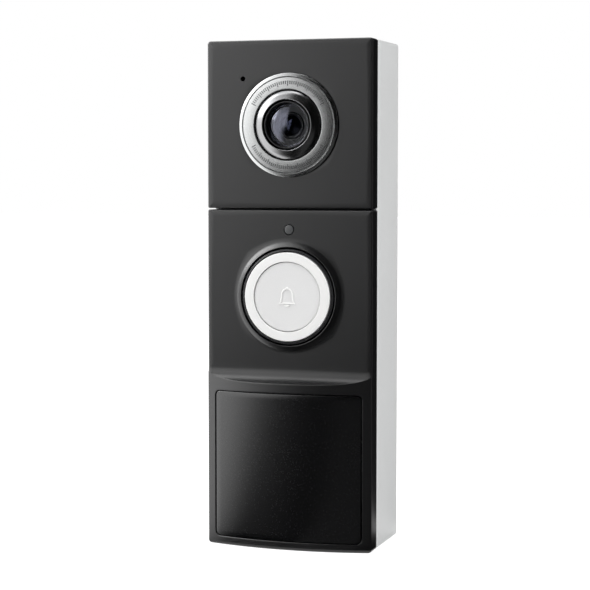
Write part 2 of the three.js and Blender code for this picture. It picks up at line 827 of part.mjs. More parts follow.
const latchZ = rearInnerZ + seam;
const latchFrontZ = latchZ + latchSize[2];
const latchBottomY = bottom + housingWall + housingLedge + slideGap;
const latchTopY = latchBottomY + latchSize[1];
const latchRoomY = latchBottomY + latchBar; // lower edge of the opening in the latch
const catchLowY = latchRoomY + latchTravel + 2 * slideGap;
const catchHighY = catchLowY + catchThickness;
const catchTipY = catchHighY + catchLip;
const noseY = catchTipY + latchBite;
const catchLipZ = latchFrontZ + slideGap;
const catchTopZ = catchLipZ + catchLipThickness;
const springY = latchTopY + slideGap;
const springSeatY = springY + springLength + seam;

function makeLatch() {
  const frame = blockOn(latchSize, 0, (latchBottomY + latchTopY) / 2, latchZ);
  const openX = catchWidth / 2 + 2 * slideGap;
  const body = cut(frame, block([-openX, latchRoomY, latchZ - 1], [openX, noseY, latchFrontZ + 1]));
  add('release_latch', body, mouldedBlack);

  // A flat spring: level strips joined at the left and the right end in turn.
  const pitch = (springLength - springWire) / springFolds;
  const reach = springWidth / 2;
  const stripTopZ = latchFrontZ - seam;
  const strips = [];
  for (let i = 0; i <= springFolds; i += 1) {
    const y = springY + i * pitch;
    strips.push(block([-reach, y, latchZ], [reach, y + springWire, stripTopZ]));
    if (i < springFolds) {
      const x = i % 2 === 0 ? reach - springWire : -reach;
      strips.push(block([x, y, latchZ], [x + springWire, y + pitch + springWire, stripTopZ]));
    }
  }
  add('latch_spring', join(...strips), steel);
}

// ---------------------------------------------------------------- rear housing and inner frame

const bossPlaces = [];
for (const x of [-1, 1]) {
  for (const y of [-1, 1]) {
    bossPlaces.push([x * (side - bossInset[0]), y * (top - bossInset[1])]);
  }
}

const batteryZ = latchFrontZ + seam + press; // its back face
const batteryLowY = latchTopY + batteryAboveLatch;
const batteryTopY = mainBoardY - batteryRoom[1];
const speakerZ = latchFrontZ + speakerAboveLatch; // middle of the speaker
const pocketFloorZ = recessFloorZ + flapSize[2] + flapGap;

// Tools that cut the openings in the rear wall and the bottom wall.
function housingCuts() {
  const tools = [];
  for (const [x, y] of bossPlaces) {
    tools.push(rod(screwRadius + seam, x, y, recessFloorZ - 1, ledgeZ + 1, coarse));
    tools.push(rod(screwHeadRadius + seam, x, y, recessFloorZ - 1, rearInnerZ, coarse));
  }
  for (let i = 0; i < soundSlots; i += 1) {
    const x = (i - (soundSlots - 1) / 2) * soundSlotPitch;
    const [halfX, halfZ] = [soundSlotWidth / 2, soundSlotLength / 2];
    tools.push(block([x - halfX, bottom - 1, speakerZ - halfZ], [x + halfX, 1 - deepY, speakerZ + halfZ]));
  }
  const pinWay = 2 * (housingWall + housingLedge) + 2;
  const pinHole = new THREE.CylinderGeometry(pinHoleRadius, pinHoleRadius, pinWay, coarse);
  tools.push(solid(pinHole.translate(0, bottom, latchZ + latchSize[2] / 2)));

  // Way through for the catch
  const slotX = catchWidth / 2 + 2 * slideGap;
  tools.push(block(
    [-slotX, catchLowY - 2 * slideGap, recessFloorZ - 1],
    [slotX, catchTipY + 2 * slideGap, rearInnerZ + seam],
  ));
  for (const hand of [-1, 1]) {
    // Pockets for the wall plate's hooks
    const half = hookWidth / 2 + 2 * slideGap;
    tools.push(block(
      [hand * hookX - half, rimInnerY - 1, backZ + hookLip],
      [hand * hookX + half, rimInnerY + hookReach + seam - plateGap + 2 * slideGap, recessFloorZ],
    ));
    // Ways in to the terminal screws
    const x = hand * terminalSpacing / 2;
    tools.push(rod(terminalScrew.head + seam, x, terminalY, recessFloorZ - 1, rearInnerZ + 1, coarse));
  }

  // Pocket for the flap, with openings for the charging port and the reset button
  const [halfX, halfY] = [flapSize[0] / 2 + flapGap, flapSize[1] / 2 + flapGap];
  tools.push(block([-halfX, flapY - halfY, recessFloorZ - 1], [halfX, flapY + halfY, pocketFloorZ]));
  const [mouthX, mouthY] = [portMouth[0] / 2 + seam, portMouth[1] / 2 + seam];
  tools.push(block(
    [portX - mouthX, flapY - mouthY, pocketFloorZ - 1],
    [portX + mouthX, flapY + mouthY, rearInnerZ + 1],
  ));
  tools.push(rod(resetRadius + slideGap, resetX, flapY, pocketFloorZ - 1, rearInnerZ + 1, coarse));
  return tools;
}

function makeHousing() {
  const outer = roundedRect(bodyWidth, bodyHeight, cornerRadius);
  const mouth = roundedRect(2 * cavityX, 2 * cavityY, cornerRadius);
  const deep = roundedRect(2 * deepX, 2 * deepY, cornerRadius);
  const recess = roundedRect(2 * rimInnerX, 2 * rimInnerY, cornerRadius);
  const middleZ = (backZ + housingFrontZ) / 2;
  const blank = join(
    bevelledSlab(outer, backZ, middleZ + edgeChamfer, edgeChamfer),
    slab(outer, backZ + edgeChamfer, middleZ),
    bevelledSlab(outer, middleZ - lipDepth, housingFrontZ, lipInset, lipDepth),
  );
  const shell = cut(
    blank,
    slab(mouth, ledgeZ, housingFrontZ + 1),
    slab(deep, rearInnerZ, housingFrontZ),
    slab(recess, backZ - 1, recessFloorZ),
  );

  const rooted = rearInnerZ - rearWall / 4;
  const bosses = bossPlaces.map(([x, y]) => rod(bossRadius, x, y, rooted, ledgeZ, coarse));
  const ribLowY = springSeatY + springSeatWall;
  const ribHighY = batteryTopY - batteryCorner;
  const ribs = [-1, 1].map((hand) => block(
    [hand * batteryRibX - ribWidth / 2, ribLowY, rooted],
    [hand * batteryRibX + ribWidth / 2, ribHighY, batteryZ - seam],
  ));
  const seatX = springWidth / 2 + 1;
  const springSeat = block(
    [-seatX, springSeatY, rooted],
    [seatX, springSeatY + springSeatWall, latchFrontZ],
  );
  add('rear_housing', cut(join(shell, ...bosses, ...ribs, springSeat), ...housingCuts()), greyShell);
}

function makeFrame() {
  const width = 2 * (cavityX - seam);
  const height = 2 * (cavityY - seam);
  const plate = slab(roundedRect(width, height, cornerRadius), frameBackZ, housingFrontZ);
  const inset = Math.max(coverWall, housingWall) + seam;
  const rooted = housingFrontZ - frameThickness / 4;
  const lift = (lowY, highY) => slab(
    roundedRect(bodyWidth - 2 * inset, highY - lowY - 2 * inset, cornerRadius, 0, (lowY + highY) / 2),
    rooted,
    platformZ,
  );
  const blind = housingFrontZ - 0.4; // floor of the screw holes
  const { post, shank } = boardScrew;
  const boardPosts = boardScrewPlaces.map(
    ([x, y]) => rod(post, x, y, mainBoardZ + seam, rooted, coarse),
  );
  const pilots = boardScrewPlaces.map(
    ([x, y]) => rod(shank + seam, x, y, mainBoardZ - 1, blind, coarse),
  );
  const screwHoles = bossPlaces.map(
    ([x, y]) => rod(screwRadius + seam, x, y, frameBackZ - 1, blind, coarse),
  );
  const pocketSize = cameraBoardSize[0] + 2 * seam;
  const body = cut(
    join(plate, lift(splitY + splitGap / 2, top), lift(bottom, splitY - splitGap / 2), ...boardPosts),
    blockOn([pocketSize, pocketSize, framePocketZ - frameBackZ + 1], 0, cameraY, frameBackZ - 1),
    rod(neckRadius + seam, 0, cameraY, frameBackZ, platformZ + 1),
    rod(buttonPocketRadius, 0, buttonY, buttonPocketZ, platformZ + 1, fine),
    rod(gasketRadius + seam, micX, micY, frameBackZ - 1, platformZ + 1, coarse),
    rod(statusRadius + seam, 0, statusY, frameBackZ - 1, platformZ + 1, coarse),
    blockOn([...frameWindow, frameThickness + platformRise + 2], 0, windowY, frameBackZ - 1),
    ...pilots,
    ...screwHoles,
  );
  add('inner_frame', body, frameGrey);

  const sealBack = ledgeZ + seam / 2;
  const sealWidth = housingLedge - seam;
  const outline = roundedRect(width, height, cornerRadius);
  const room = roundedRect(width - 2 * sealWidth, height - 2 * sealWidth, cornerRadius);
  const seal = cut(
    slab(outline, sealBack, sealBack + sealThickness),
    slab(room, sealBack - 1, sealBack + 2),
  );
  add('housing_seal', seal, rubberBlack);
}

function makeScrews() {
  bossPlaces.forEach(([x, y], index) => {
    const headZ = rearInnerZ - seam - screwHeadHeight;
    const drive = blockOn(driveSlot, x, y, headZ - 0.1);
    const screw = turned([
      [0, headZ],
      [screwHeadRadius, headZ],
      [screwHeadRadius, headZ + screwHeadHeight],
      [screwRadius, headZ + screwHeadHeight],
      [screwRadius, housingFrontZ - 1 - screwRadius / 2],
      [0, housingFrontZ - 1],
    ], x, y, coarse);
    add(`case_screw_${index + 1}`, cut(screw, drive), steel);
  });
}

// ---------------------------------------------------------------- electronics

const boardScrewPlaces = [-1, 1].map((hand) => [hand * boardScrewX, mainBoardY + boardScrewUp]);

function makeMainBoard() {
  const half = mainBoardWidth / 2;
  const { head, height, shank } = boardScrew;
  const holes = boardScrewPlaces.map(
    ([x, y]) => rod(shank + seam, x, y, mainBoardBackZ - 1, mainBoardZ + 1, coarse),
  );
  const board = cut(
    block([-half, mainBoardY, mainBoardBackZ], [half, deepY - 1, mainBoardZ]),
    ...holes,
  );
  add('main_board', board, boardGreen);
  const onBack = (size, belowTop) => blockOn(size, 0, top - belowTop, mainBoardBackZ - press - size[2]);
  add('processor_shield', onBack(shieldSize, shieldBelowTop), steel);
  add('battery_connector', onBack(socketSize, socketBelowTop), ringWhite);
  boardScrewPlaces.forEach(([x, y], index) => {
    const headZ = mainBoardBackZ - seam - height;
    const screw = turned([
      [0, headZ],
      [head, headZ],
      [head, headZ + height],
      [shank, headZ + height],
      [shank, housingFrontZ - 1 - shank / 2],
      [0, housingFrontZ - 1],
    ], x, y, coarse);
    add(`board_screw_${index + 1}`, screw, steel);
  });
  const antennaX = deepX - seam - antennaSize[0] / 2;
  const antenna = blockOn(antennaSize, antennaX, top - antennaBelowTop, antennaZ - antennaSize[2] / 2);
  add('wifi_antenna', antenna, copper);
}

function makeBattery() {
  const [beside, , inFront] = batteryRoom;
  const outline = roundedRect(
    2 * (deepX - beside), batteryTopY - batteryLowY, batteryCorner, 0, (batteryLowY + batteryTopY) / 2,
  );
  add('battery_pack', bevelledSlab(outline, batteryZ, frameBackZ - inFront, 1), wrapBlue);
}

// The speaker looks down at the slots in the bottom wall.
function makeSpeaker() {
  const [height, depth] = speakerSize;
  const [wallX, wallZ] = speakerWall;
  const [halfX, halfZ] = [speakerWidth / 2, depth / 2];
  const meshY = seam - deepY;
  const speakerY = meshY + meshThickness + seam;
  add('speaker_mesh', block(
    [1 - halfX, meshY, speakerZ - halfZ + 1],
    [halfX - 1, meshY + meshThickness, speakerZ + halfZ - 1],
  ), rubberBlack);
  const frame = block([-halfX, speakerY, speakerZ - halfZ], [halfX, speakerY + height, speakerZ + halfZ]);
  const room = block(
    [wallX - halfX, speakerY - 1, speakerZ - halfZ + wallZ],
    [halfX - wallX, speakerY + height / 2, speakerZ + halfZ - wallZ],
  );
  add('speaker_frame', cut(frame, room), mouldedBlack);
  const coneY = speakerY + height / 2 - seam - coneThickness;
  add('speaker_cone', block(
    [wallX + seam - halfX, coneY, speakerZ - halfZ + wallZ + seam],
    [halfX - wallX - seam, coneY + coneThickness, speakerZ + halfZ - wallZ - seam],
  ), darkRing);
}

function makePorts() {
  const portZ = rearInnerZ + seam;
  const boardZ = portZ + portDepth + press;
  const [mouthWidth, mouthHeight] = portMouth;
  const shell = blockOn([mouthWidth, mouthHeight, portDepth], portX, flapY, portZ);
  const roomSize = [mouthWidth - 2 * portWall, mouthHeight - 2 * portWall, portDepth];
  const room = blockOn(roomSize, portX, flapY, portZ - portWall);
  const tongue = blockOn([...portTongue, portDepth - 1], portX, flapY, portZ + 1);
  add('charging_port', join(cut(shell, room), tongue), steel);
  add('port_board', blockOn(portBoardSize, 0, flapY, boardZ), boardGreen);

  const resetZ = pocketFloorZ + 0.1;
  const resetFrontZ = resetZ + resetLength;
  add('reset_button', rod(resetRadius, resetX, flapY, resetZ, resetFrontZ, coarse), rubberBlack);
  const switchZ = resetFrontZ + resetTravel + slideGap;
  const switchSize = [resetSwitchSide, resetSwitchSide, boardZ - press - switchZ];
  add('reset_switch', blockOn(switchSize, resetX, flapY, switchZ), mouldedBlack);

  const [flapWidth, flapHeight, flapDepth] = flapSize;
  const flapZ = recessFloorZ + 0.1;
  const outline = roundedRect(flapWidth, flapHeight, flapCorner, 0, flapY);
  add('port_cover', slab(outline, flapZ, flapZ + flapDepth), rubberBlack);
}

function makeTerminals() {
  const { head, height, shank, slot } = terminalScrew;
  const baseZ = rearInnerZ + seam;
  const holeFloorZ = baseZ + terminalBlockSize[2] - 0.6;
  const places = [-1, 1].map((hand) => hand * terminalSpacing / 2);
  const body = cut(
    blockOn(terminalBlockSize, 0, terminalY, baseZ),
    ...places.map((x) => rod(shank + seam, x, terminalY, baseZ - 1, holeFloorZ, coarse)),
  );
  add('terminal_block', body, mouldedBlack);
  places.forEach((x, index) => {
    const headZ = baseZ - seam - height;
    const screw = turned([
      [0, headZ],
      [head, headZ],
      [head, headZ + height],
      [shank, headZ + height],
      [shank, holeFloorZ - seam],
      [0, holeFloorZ - seam],
    ], x, terminalY, coarse);
    add(`terminal_screw_${index + 1}`, cut(screw, blockOn(slot, x, terminalY, headZ - 0.1)), brass);
  });
}

// ---------------------------------------------------------------- wall plate

function makeWallPlate() {
  const halfX = rimInnerX - plateGap;
  const halfY = rimInnerY - plateGap;
  const outline = roundedRect(2 * halfX, 2 * halfY, cornerRadius);
  const blank = bevelledSlab(outline, 0, plateThickness, plateChamfer);
  const hooks = [-1, 1].map((hand) => block(
    [hand * hookX - hookWidth / 2, halfY - 1, plateThickness - hookThickness],
    [hand * hookX + hookWidth / 2, halfY + hookReach, plateThickness],
  ));
  const post = block(
    [-catchWidth / 2, catchLowY, plateThickness - 1],
    [catchWidth / 2, catchHighY, catchTopZ],
  );
  const lip = block(
    [-catchWidth / 2, catchHighY - 0.5, catchLipZ],
    [catchWidth / 2, catchTipY, catchTopZ],
  );
  const opening = ([width, height], y) => slab(
    roundedRect(width, height, openingCorner, 0, y), -1, plateThickness + 1,
  );
  const tools = [opening(plateWindow, flapY), opening(wireOpening, terminalY)];
  const { hole, head, countersink } = wallScrew;
  const lowestY = bottom + 27;
  for (const [x, y] of [[0, halfY - 6], [-15, lowestY + 18], [15, lowestY + 18], [0, lowestY]]) {
    tools.push(turned([
      [0, -1],
      [hole, -1],
      [hole, plateThickness - countersink],
      [head, plateThickness + 0.1],
      [0, plateThickness + 0.1],
    ], x, y, coarse));
  }
  add('wall_plate', cut(join(blank, ...hooks, post, lip), ...tools), plateGrey);
}

// ---------------------------------------------------------------- assembly

makeUpperCover();
makeLowerCover();
makeMotionWindow();
makeLensRings();
makeLens();
makeCameraModule();
makeButton();
makeButtonSurround();
makeMotionSensor();
makeMicrophone();
makeStatusLight();
makeLatch();
makeHousing();
makeFrame();
makeScrews();
makeMainBoard();
makeBattery();
makeSpeaker();
makePorts();
makeTerminals();
makeWallPlate();

unit.rotation.x = Math.PI / 2;
const doorbell = new THREE.Group();
doorbell.add(unit);

export default doorbell;
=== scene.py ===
# %% [markdown]
# A video doorbell on its wall plate, built around a fixed frame. The frame holds every piece at its real
# place and size, in metres: x runs to the right, z up, and the front looks along -y. This script keeps the
# frame's inner pieces and makes the pieces that are seen again, with rounded edges and real finishes.

import math

import bmesh
import bpy
import numpy as np
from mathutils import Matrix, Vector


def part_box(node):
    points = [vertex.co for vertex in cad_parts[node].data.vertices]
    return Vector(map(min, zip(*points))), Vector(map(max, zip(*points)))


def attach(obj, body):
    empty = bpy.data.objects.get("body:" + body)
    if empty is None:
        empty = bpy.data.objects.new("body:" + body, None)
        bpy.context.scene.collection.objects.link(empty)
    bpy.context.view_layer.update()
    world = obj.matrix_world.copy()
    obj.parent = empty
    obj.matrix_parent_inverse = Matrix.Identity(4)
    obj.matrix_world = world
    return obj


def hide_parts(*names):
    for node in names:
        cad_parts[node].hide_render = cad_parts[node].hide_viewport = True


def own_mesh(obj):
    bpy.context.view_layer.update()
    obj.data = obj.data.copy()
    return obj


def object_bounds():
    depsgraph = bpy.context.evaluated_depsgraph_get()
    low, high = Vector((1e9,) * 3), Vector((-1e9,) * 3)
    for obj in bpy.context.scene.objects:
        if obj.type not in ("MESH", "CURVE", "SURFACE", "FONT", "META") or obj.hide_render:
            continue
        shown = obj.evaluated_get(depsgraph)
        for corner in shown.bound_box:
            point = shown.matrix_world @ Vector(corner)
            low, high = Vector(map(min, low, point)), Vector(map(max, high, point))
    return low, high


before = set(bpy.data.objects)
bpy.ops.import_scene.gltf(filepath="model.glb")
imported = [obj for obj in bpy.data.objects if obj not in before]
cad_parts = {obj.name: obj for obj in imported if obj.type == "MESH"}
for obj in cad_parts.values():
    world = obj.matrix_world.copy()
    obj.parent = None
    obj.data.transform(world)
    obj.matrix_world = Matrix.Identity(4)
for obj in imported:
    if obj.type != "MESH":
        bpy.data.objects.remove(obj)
CAD_BOX = [list(corner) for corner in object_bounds()]
print("frame box in metres", CAD_BOX)

# %% [markdown]
# Sizes come from the frame's boxes, turned into millimetres and into the front view: a to the right, b up,
# and d out of the wall towards the visitor. No box gives the roundings of the edges, the thickness of the
# walls and how far the lens ring's skirt reaches, so these are written here.

# %% Measure the frame
MM = 0.001


def measure(node):
    """The node's lowest and highest corner as (a, b, d) in millimetres."""
    low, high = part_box(node)
    return (np.array([low.x, low.z, -high.y]) / MM, np.array([high.x, high.z, -low.y]) / MM)


upper_low, upper_high = measure("upper_front_cover")
lower_low, lower_high = measure("lower_front_cover")
housing_low, housing_high = measure("rear_housing")
window_low, window_high = measure("motion_window")
HALF_WIDTH = upper_high[0]
FRONT = upper_high[2]
COVER_BACK = upper_low[2]
EDGE = 0.36
CORNER = 0.9
SPLIT_CORNER = 0.42
INNER_CORNER = 0.2
WALL = 1.4
SKIN = 1.6
INNER = FRONT - SKIN
SKIRT_REACH = 1.3


def centre_and_radius(node):
    """The middle height b and the radius of a round node."""
    low, high = measure(node)
    return (low[1] + high[1]) / 2, (high[0] - low[0]) / 2


LENS_B, SKIRT_RADIUS = centre_and_radius("lens_trim_ring")
TRIM_RADIUS = SKIRT_RADIUS - SKIRT_REACH
BUTTON_B, BEZEL_RADIUS = centre_and_radius("button_bezel_ring")
print("half width", HALF_WIDTH, "front", FRONT, "lens height", LENS_B, "button height", BUTTON_B)

# %% [markdown]
# Every new piece is one or more grids of points. A grid is worked out as a whole array, its faces join each
# point to its neighbours, and equal points at seams and poles are merged, so that the piece is closed.

# %% Grids to meshes


def grid_faces(rows, columns, wrap_rows=False, wrap_columns=False):
    """Quads between neighbouring points of a grid stored row by row; wrap closes a direction on itself."""
    i = np.arange(rows if wrap_rows else rows - 1)
    j = np.arange(columns if wrap_columns else columns - 1)
    i, j = np.meshgrid(i, j, indexing="ij")
    nexti, nextj = (i + 1) % rows, (j + 1) % columns
    return np.stack(
        [i * columns + j, nexti * columns + j, nexti * columns + nextj, i * columns + nextj], -1
    ).reshape(-1, 4)


def grid(points, **wraps):
    """A grid of points, shape (rows, columns, 3), as (points, quads)."""
    rows, columns = points.shape[:2]
    return points.reshape(-1, 3), grid_faces(rows, columns, **wraps)


def gather(*parts):
    """Several (points, quads) as one, with each part's face numbers moved past the points before it."""
    starts = np.cumsum([0] + [len(points) for points, _ in parts[:-1]])
    return (
        np.concatenate([points for points, _ in parts]),
        np.concatenate([faces + start for (_, faces), start in zip(parts, starts)]),
    )


def closed_mesh(name, surface, merge):
    """A mesh from (points, quads) in front-view millimetres, with points nearer than merge made one. A closed
    surface that faces outwards holds a positive volume, so one with a negative volume is turned."""
    points, faces = surface
    placed = np.stack([points[:, 0], -points[:, 2], points[:, 1]], -1) * MM
    mesh = bpy.data.meshes.new(name)
    mesh.from_pydata(placed.tolist(), [], faces.tolist())
    bm = bmesh.new()
    bm.from_mesh(mesh)
    bmesh.ops.remove_doubles(bm, verts=bm.verts, dist=merge * MM)
    bmesh.ops.recalc_face_normals(bm, faces=bm.faces)
    if bm.calc_volume(signed=True) < 0:
        bmesh.ops.reverse_faces(bm, faces=bm.faces)
    open_edges = sum(1 for e in bm.edges if len(e.link_faces) != 2)
    bm.to_mesh(mesh)
    bm.free()
    return mesh, open_edges


def new_object(name, data):
    """An object of the scene that shows a mesh, a lamp or a camera."""
    made = bpy.data.objects.new(name, data)
    bpy.context.scene.collection.objects.link(made)
    return made


def finish_mesh(mesh, crease):
    """Smooth shading, with edges sharper than the crease angle kept sharp."""
    mesh.polygons.foreach_set("use_smooth", np.ones(len(mesh.polygons), bool))
    mesh.set_sharp_from_angle(angle=math.radians(crease))


CREASE = 38.0


def piece(name, surface, body, material, stands_for=None, crease=CREASE, merge=2e-4):
    """Makes a closed piece from (points, quads), puts it on its body and hides the frame's node that it
    stands for.
    """
    mesh, open_edges = closed_mesh(name, surface, merge)
    finish_mesh(mesh, crease)
    mesh.materials.append(material)
    made = new_object(name, mesh)
    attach(made, body)
    if stands_for:
        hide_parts(stands_for)
    print(name, len(mesh.polygons), "faces, open edges", open_edges)
    return made


# %% [markdown]
# Round pieces are turned: a half section of radius and depth is swung about the piece's own axis. Most
# edges on a moulded or machined piece are rounded a little, and that thin round is what catches the light.
# So a section is written as corners, each with its rounding, and a helper turns each corner into a short
# curve.

# %% Sections and turning


def rounded(corners, steps=5, closed=True):
    """A section with soft corners. Each corner is (u, v, round); the curve between the two points that lie
    round away from the corner is (1-t)^2 start + 2t(1-t) corner + t^2 end."""
    points = np.array([c[:2] for c in corners], float)
    rounds = np.array([c[2] if len(c) > 2 else 0.0 for c in corners])
    out = []
    t = np.linspace(0, 1, steps)[:, None]
    for k, (corner, amount) in enumerate(zip(points, rounds)):
        before, after = points[k - 1], points[(k + 1) % len(points)]
        ends = not closed and k in (0, len(points) - 1)
        if amount <= 0 or ends:
            out.append(corner[None])
            continue
        start = corner + (before - corner) / np.linalg.norm(before - corner) * amount
        end = corner + (after - corner) / np.linalg.norm(after - corner) * amount
        out.append((1 - t) ** 2 * start + 2 * t * (1 - t) * corner + t**2 * end)
    return np.concatenate(out)


def turned(section, b, steps=160, a=0.0):
    """A closed section of (radius, depth) swung a full turn about the axis at (a, b): the point at angle t is
    a + radius cos t, b + radius sin t, depth."""
    angle = np.linspace(0, 2 * np.pi, steps, endpoint=False)[:, None]
    radius, depth = section[:, 0][None], section[:, 1][None]
    points = np.stack(
        [a + radius * np.cos(angle), b + radius * np.sin(angle), depth + 0 * angle], -1
    )
    open_section = section[0, 0] == 0 and section[-1, 0] == 0
    return grid(points, wrap_rows=True, wrap_columns=not open_section)


# %% [markdown]
# Rectangular pieces follow a rounded outline. The outline has the same number of points on each side and in
# each corner whatever its size, so that two outlines, or an outline and a circle, can be joined point to
# point.

# %% Outlines

SIDE_POINTS = 64
TALL_POINTS = 72
ARC_POINTS = 7


def outline(low, high, radii):
    """A rounded rectangle from low to high, counter-clockwise from the lower left, with a radius for each
    corner (lower left, lower right, upper right, upper left). Returns the points and the outward normals."""
    (a0, b0), (a1, b1) = low, high
    signs = [(-1, -1), (1, -1), (1, 1), (-1, 1)]
    points, normals = [], []
    for k in range(4):
        sa, sb = signs[k]
        r = radii[k]
        middle = np.array([(a0 if sa < 0 else a1) - sa * r, (b0 if sb < 0 else b1) - sb * r])
        turn = np.pi + k * np.pi / 2 + np.linspace(0, np.pi / 2, ARC_POINTS)
        ray = np.stack([np.cos(turn), np.sin(turn)], -1)
        points.append(middle + r * ray)
        normals.append(ray)
    joined, facing = [], []
    for k in range(4):
        count = SIDE_POINTS if k % 2 == 0 else TALL_POINTS
        t = np.linspace(0, 1, count + 1)[1:-1, None]
        start, end = points[k][-1], points[(k + 1) % 4][0]
        joined += [points[k], (1 - t) * start + t * end]
        facing += [normals[k], np.repeat(normals[k][-1:], count - 1, 0)]
    return np.concatenate(joined), np.concatenate(facing)


def side_slice(k):
    """The outline's points of side k with their end corners: 0 bottom, 1 right, 2 top, 3 left."""
    counts = [ARC_POINTS, SIDE_POINTS - 1, ARC_POINTS, TALL_POINTS - 1] * 2
    starts = np.cumsum([0] + counts)
    first = starts[2 * k] + ARC_POINTS - 1
    last = starts[2 * k + 2]
    return np.arange(first, last + 1) % (2 * (SIDE_POINTS + TALL_POINTS) - 4 + 4 * ARC_POINTS)


print("outline points", len(outline((-1, -1), (1, 1), (0.1,) * 4)[0]))

# %% [markdown]
# The black covers and the window are lofts: a stack of loops with the same number of points. The innermost
# loop is a circle round the lens or the button, the outermost is the cover's outline, and the loops between
# are blends of the two, so the moulded face flows from one to the other with no seam.

# %% Lofts


def loft(rows, wrap=True):
    """Loops stacked into one surface. Each row is (points, depth): n points (a, b), and one depth or n of
    them; wrap closes the last row back onto the first."""
    count = len(rows[0][0])
    points = np.empty((len(rows), count, 3))
    for k, (flat, depth) in enumerate(rows):
        points[k, :, :2] = flat
        points[k, :, 2] = depth
    return grid(points, wrap_rows=wrap, wrap_columns=True)


def circle_towards(points, b, radius):
    """Points on a circle about (0, b), each in the direction of the matching outline point."""
    middle = np.array([0.0, b])
    away = points - middle
    return middle + radius * away / np.linalg.norm(away, axis=1, keepdims=True)


def blend_rows(inner, outer, depth, count):
    """Rows between two loops: inner + w (outer - inner) for evenly spaced w, ends left out."""
    return [((1 - w) * inner + w * outer, depth) for w in np.linspace(0, 1, count + 2)[1:-1]]


def quarter(soft, steps=5):
    """A rounded rim of radius soft, as steps round a quarter circle: how far out and how far down each is."""
    turn = np.linspace(0, np.pi / 2, steps)
    return list(zip(soft * (1 - np.cos(turn)), soft * (1 - np.sin(turn))))


def mouth_rows(points, b, radius, soft, top):
    """The wall of a round opening, from the inner skin up, and its rounded rim, which ends flat."""
    rows = [(circle_towards(points, b, radius), INNER)]
    return rows + [(circle_towards(points, b, radius + out), top - down) for out, down in quarter(soft)]


# The rounded edge, as shares of its size: how far in and how far down each row lies. It is a small flat
# chamfer with a soft start and end, which catches a thin line of light.
EDGE_IN = np.array([1.0, 0.86, 0.74, 0.12, 0.03, 0.0])
EDGE_DOWN = EDGE_IN[::-1]


def edge_rows(points, normals, depth, soft):
    """The rounded outer edge, from soft inside the outline at full height to the outline."""
    return [(points - soft * inset * normals, depth - soft * drop) for inset, drop in zip(EDGE_IN, EDGE_DOWN)]


# %% [markdown]
# The upper cover is one shell: the wall of the lens opening, its soft mouth, the flat face, the rounded
# edge, the side wall, and then back along the inside. A small hole is drilled for the microphone.

# %% Upper cover
RING_GROOVE = 0.4
LENS_MOUTH = 0.15


def upper_cover_surface():
    """A loft from the lens opening out to the cover's outline and back inside it."""
    points, normals = outline(upper_low[:2], upper_high[:2], (SPLIT_CORNER, SPLIT_CORNER, CORNER, CORNER))
    inside = outline(upper_low[:2] + WALL, upper_high[:2] - WALL, (INNER_CORNER,) * 4)[0]
    bore = TRIM_RADIUS + RING_GROOVE
    rows = mouth_rows(points, LENS_B, bore, LENS_MOUTH, FRONT)
    rows += blend_rows(rows[-1][0], points - EDGE * normals, FRONT, 7)
    rows += edge_rows(points, normals, FRONT, EDGE)
    rows += [(points, COVER_BACK), (inside, COVER_BACK), (inside, INNER)]
    rows += blend_rows(inside, circle_towards(points, LENS_B, bore), INNER, 3)
    return loft(rows)


def drill(made, a, b, radius):
    """Cuts a round hole through a cover along d, with a drill that stands 1 mm out at both ends."""
    back, front = COVER_BACK - 1, FRONT + 1
    section = np.array([[0, back], [radius, back], [radius, front], [0, front]])
    tool = closed_mesh("drill", turned(section, b, 40, a), merge=1e-4)[0]
    combine(made, new_object("drill", tool), "DIFFERENCE", CREASE)


def combine(made, tool, operation, crease):
    """Applies one exact boolean to a piece, removes the tool and shades the mesh again."""
    step = made.modifiers.new("combine", "BOOLEAN")
    step.operation, step.solver, step.object = operation, "EXACT", tool
    bpy.context.view_layer.update()
    solved = made.evaluated_get(bpy.context.evaluated_depsgraph_get())
    mesh = bpy.data.meshes.new_from_object(solved)
    made.modifiers.remove(step)
    made.data = mesh
    bpy.data.objects.remove(tool)
    finish_mesh(mesh, crease)
    print(made.name, "after", operation.lower(), len(mesh.polygons), "faces")


# %% [markdown]
# Below the button the lower cover changes shape: a scoop lifts it off the flat front onto a shallow arch
# that holds the motion window. The scoop is a quarter of a cylinder, tangent to the flat front. It meets
# the arch in a crest, softened by a curve, and because the arch is lower at its sides the crest bends down
# in the middle.

# %% Arch and scoop
BULGE = lower_high[2] - FRONT
BULGE_SIDE = 0.3
SAG = BULGE - BULGE_SIDE
ARCH_RADIUS = (HALF_WIDTH**2 + SAG**2) / (2 * SAG)
SCOOP_DROP = 21.5
SCOOP_B = BUTTON_B - SCOOP_DROP
CREST = 0.25
WINDOW_SKIN = 3.0


def arch(a):
    """The depth of the arch at a: a circle whose top is BULGE in front of the flat face."""
    return FRONT + BULGE - ARCH_RADIUS + np.sqrt(ARCH_RADIUS**2 - a**2)


def scoop_curve(a, steps=12, soft=6):
    """For each a, the points (b, d) from the flat front up the scoop, over the soft crest, onto the arch."""
    rise = arch(a) - FRONT
    turn = np.arccos(1 - rise / BULGE)
    back = CREST * np.tan(turn / 2)
    t = np.linspace(0, 1, steps)[:, None] * (turn - back / BULGE)[None]
    climb = np.stack([SCOOP_B - BULGE * np.sin(t), FRONT + BULGE * (1 - np.cos(t))], -1)
    corner = np.stack([SCOOP_B - BULGE * np.sin(turn), FRONT + rise], -1)
    end = corner - np.stack([back, 0 * back], -1)
    s = np.linspace(0, 1, soft + 1)[1:, None, None]
    crest = (1 - s) ** 2 * climb[-1] + 2 * s * (1 - s) * corner + s**2 * end
    return np.concatenate([climb, crest])


print("crest height in the middle", scoop_curve(np.array([0.0]))[-1])

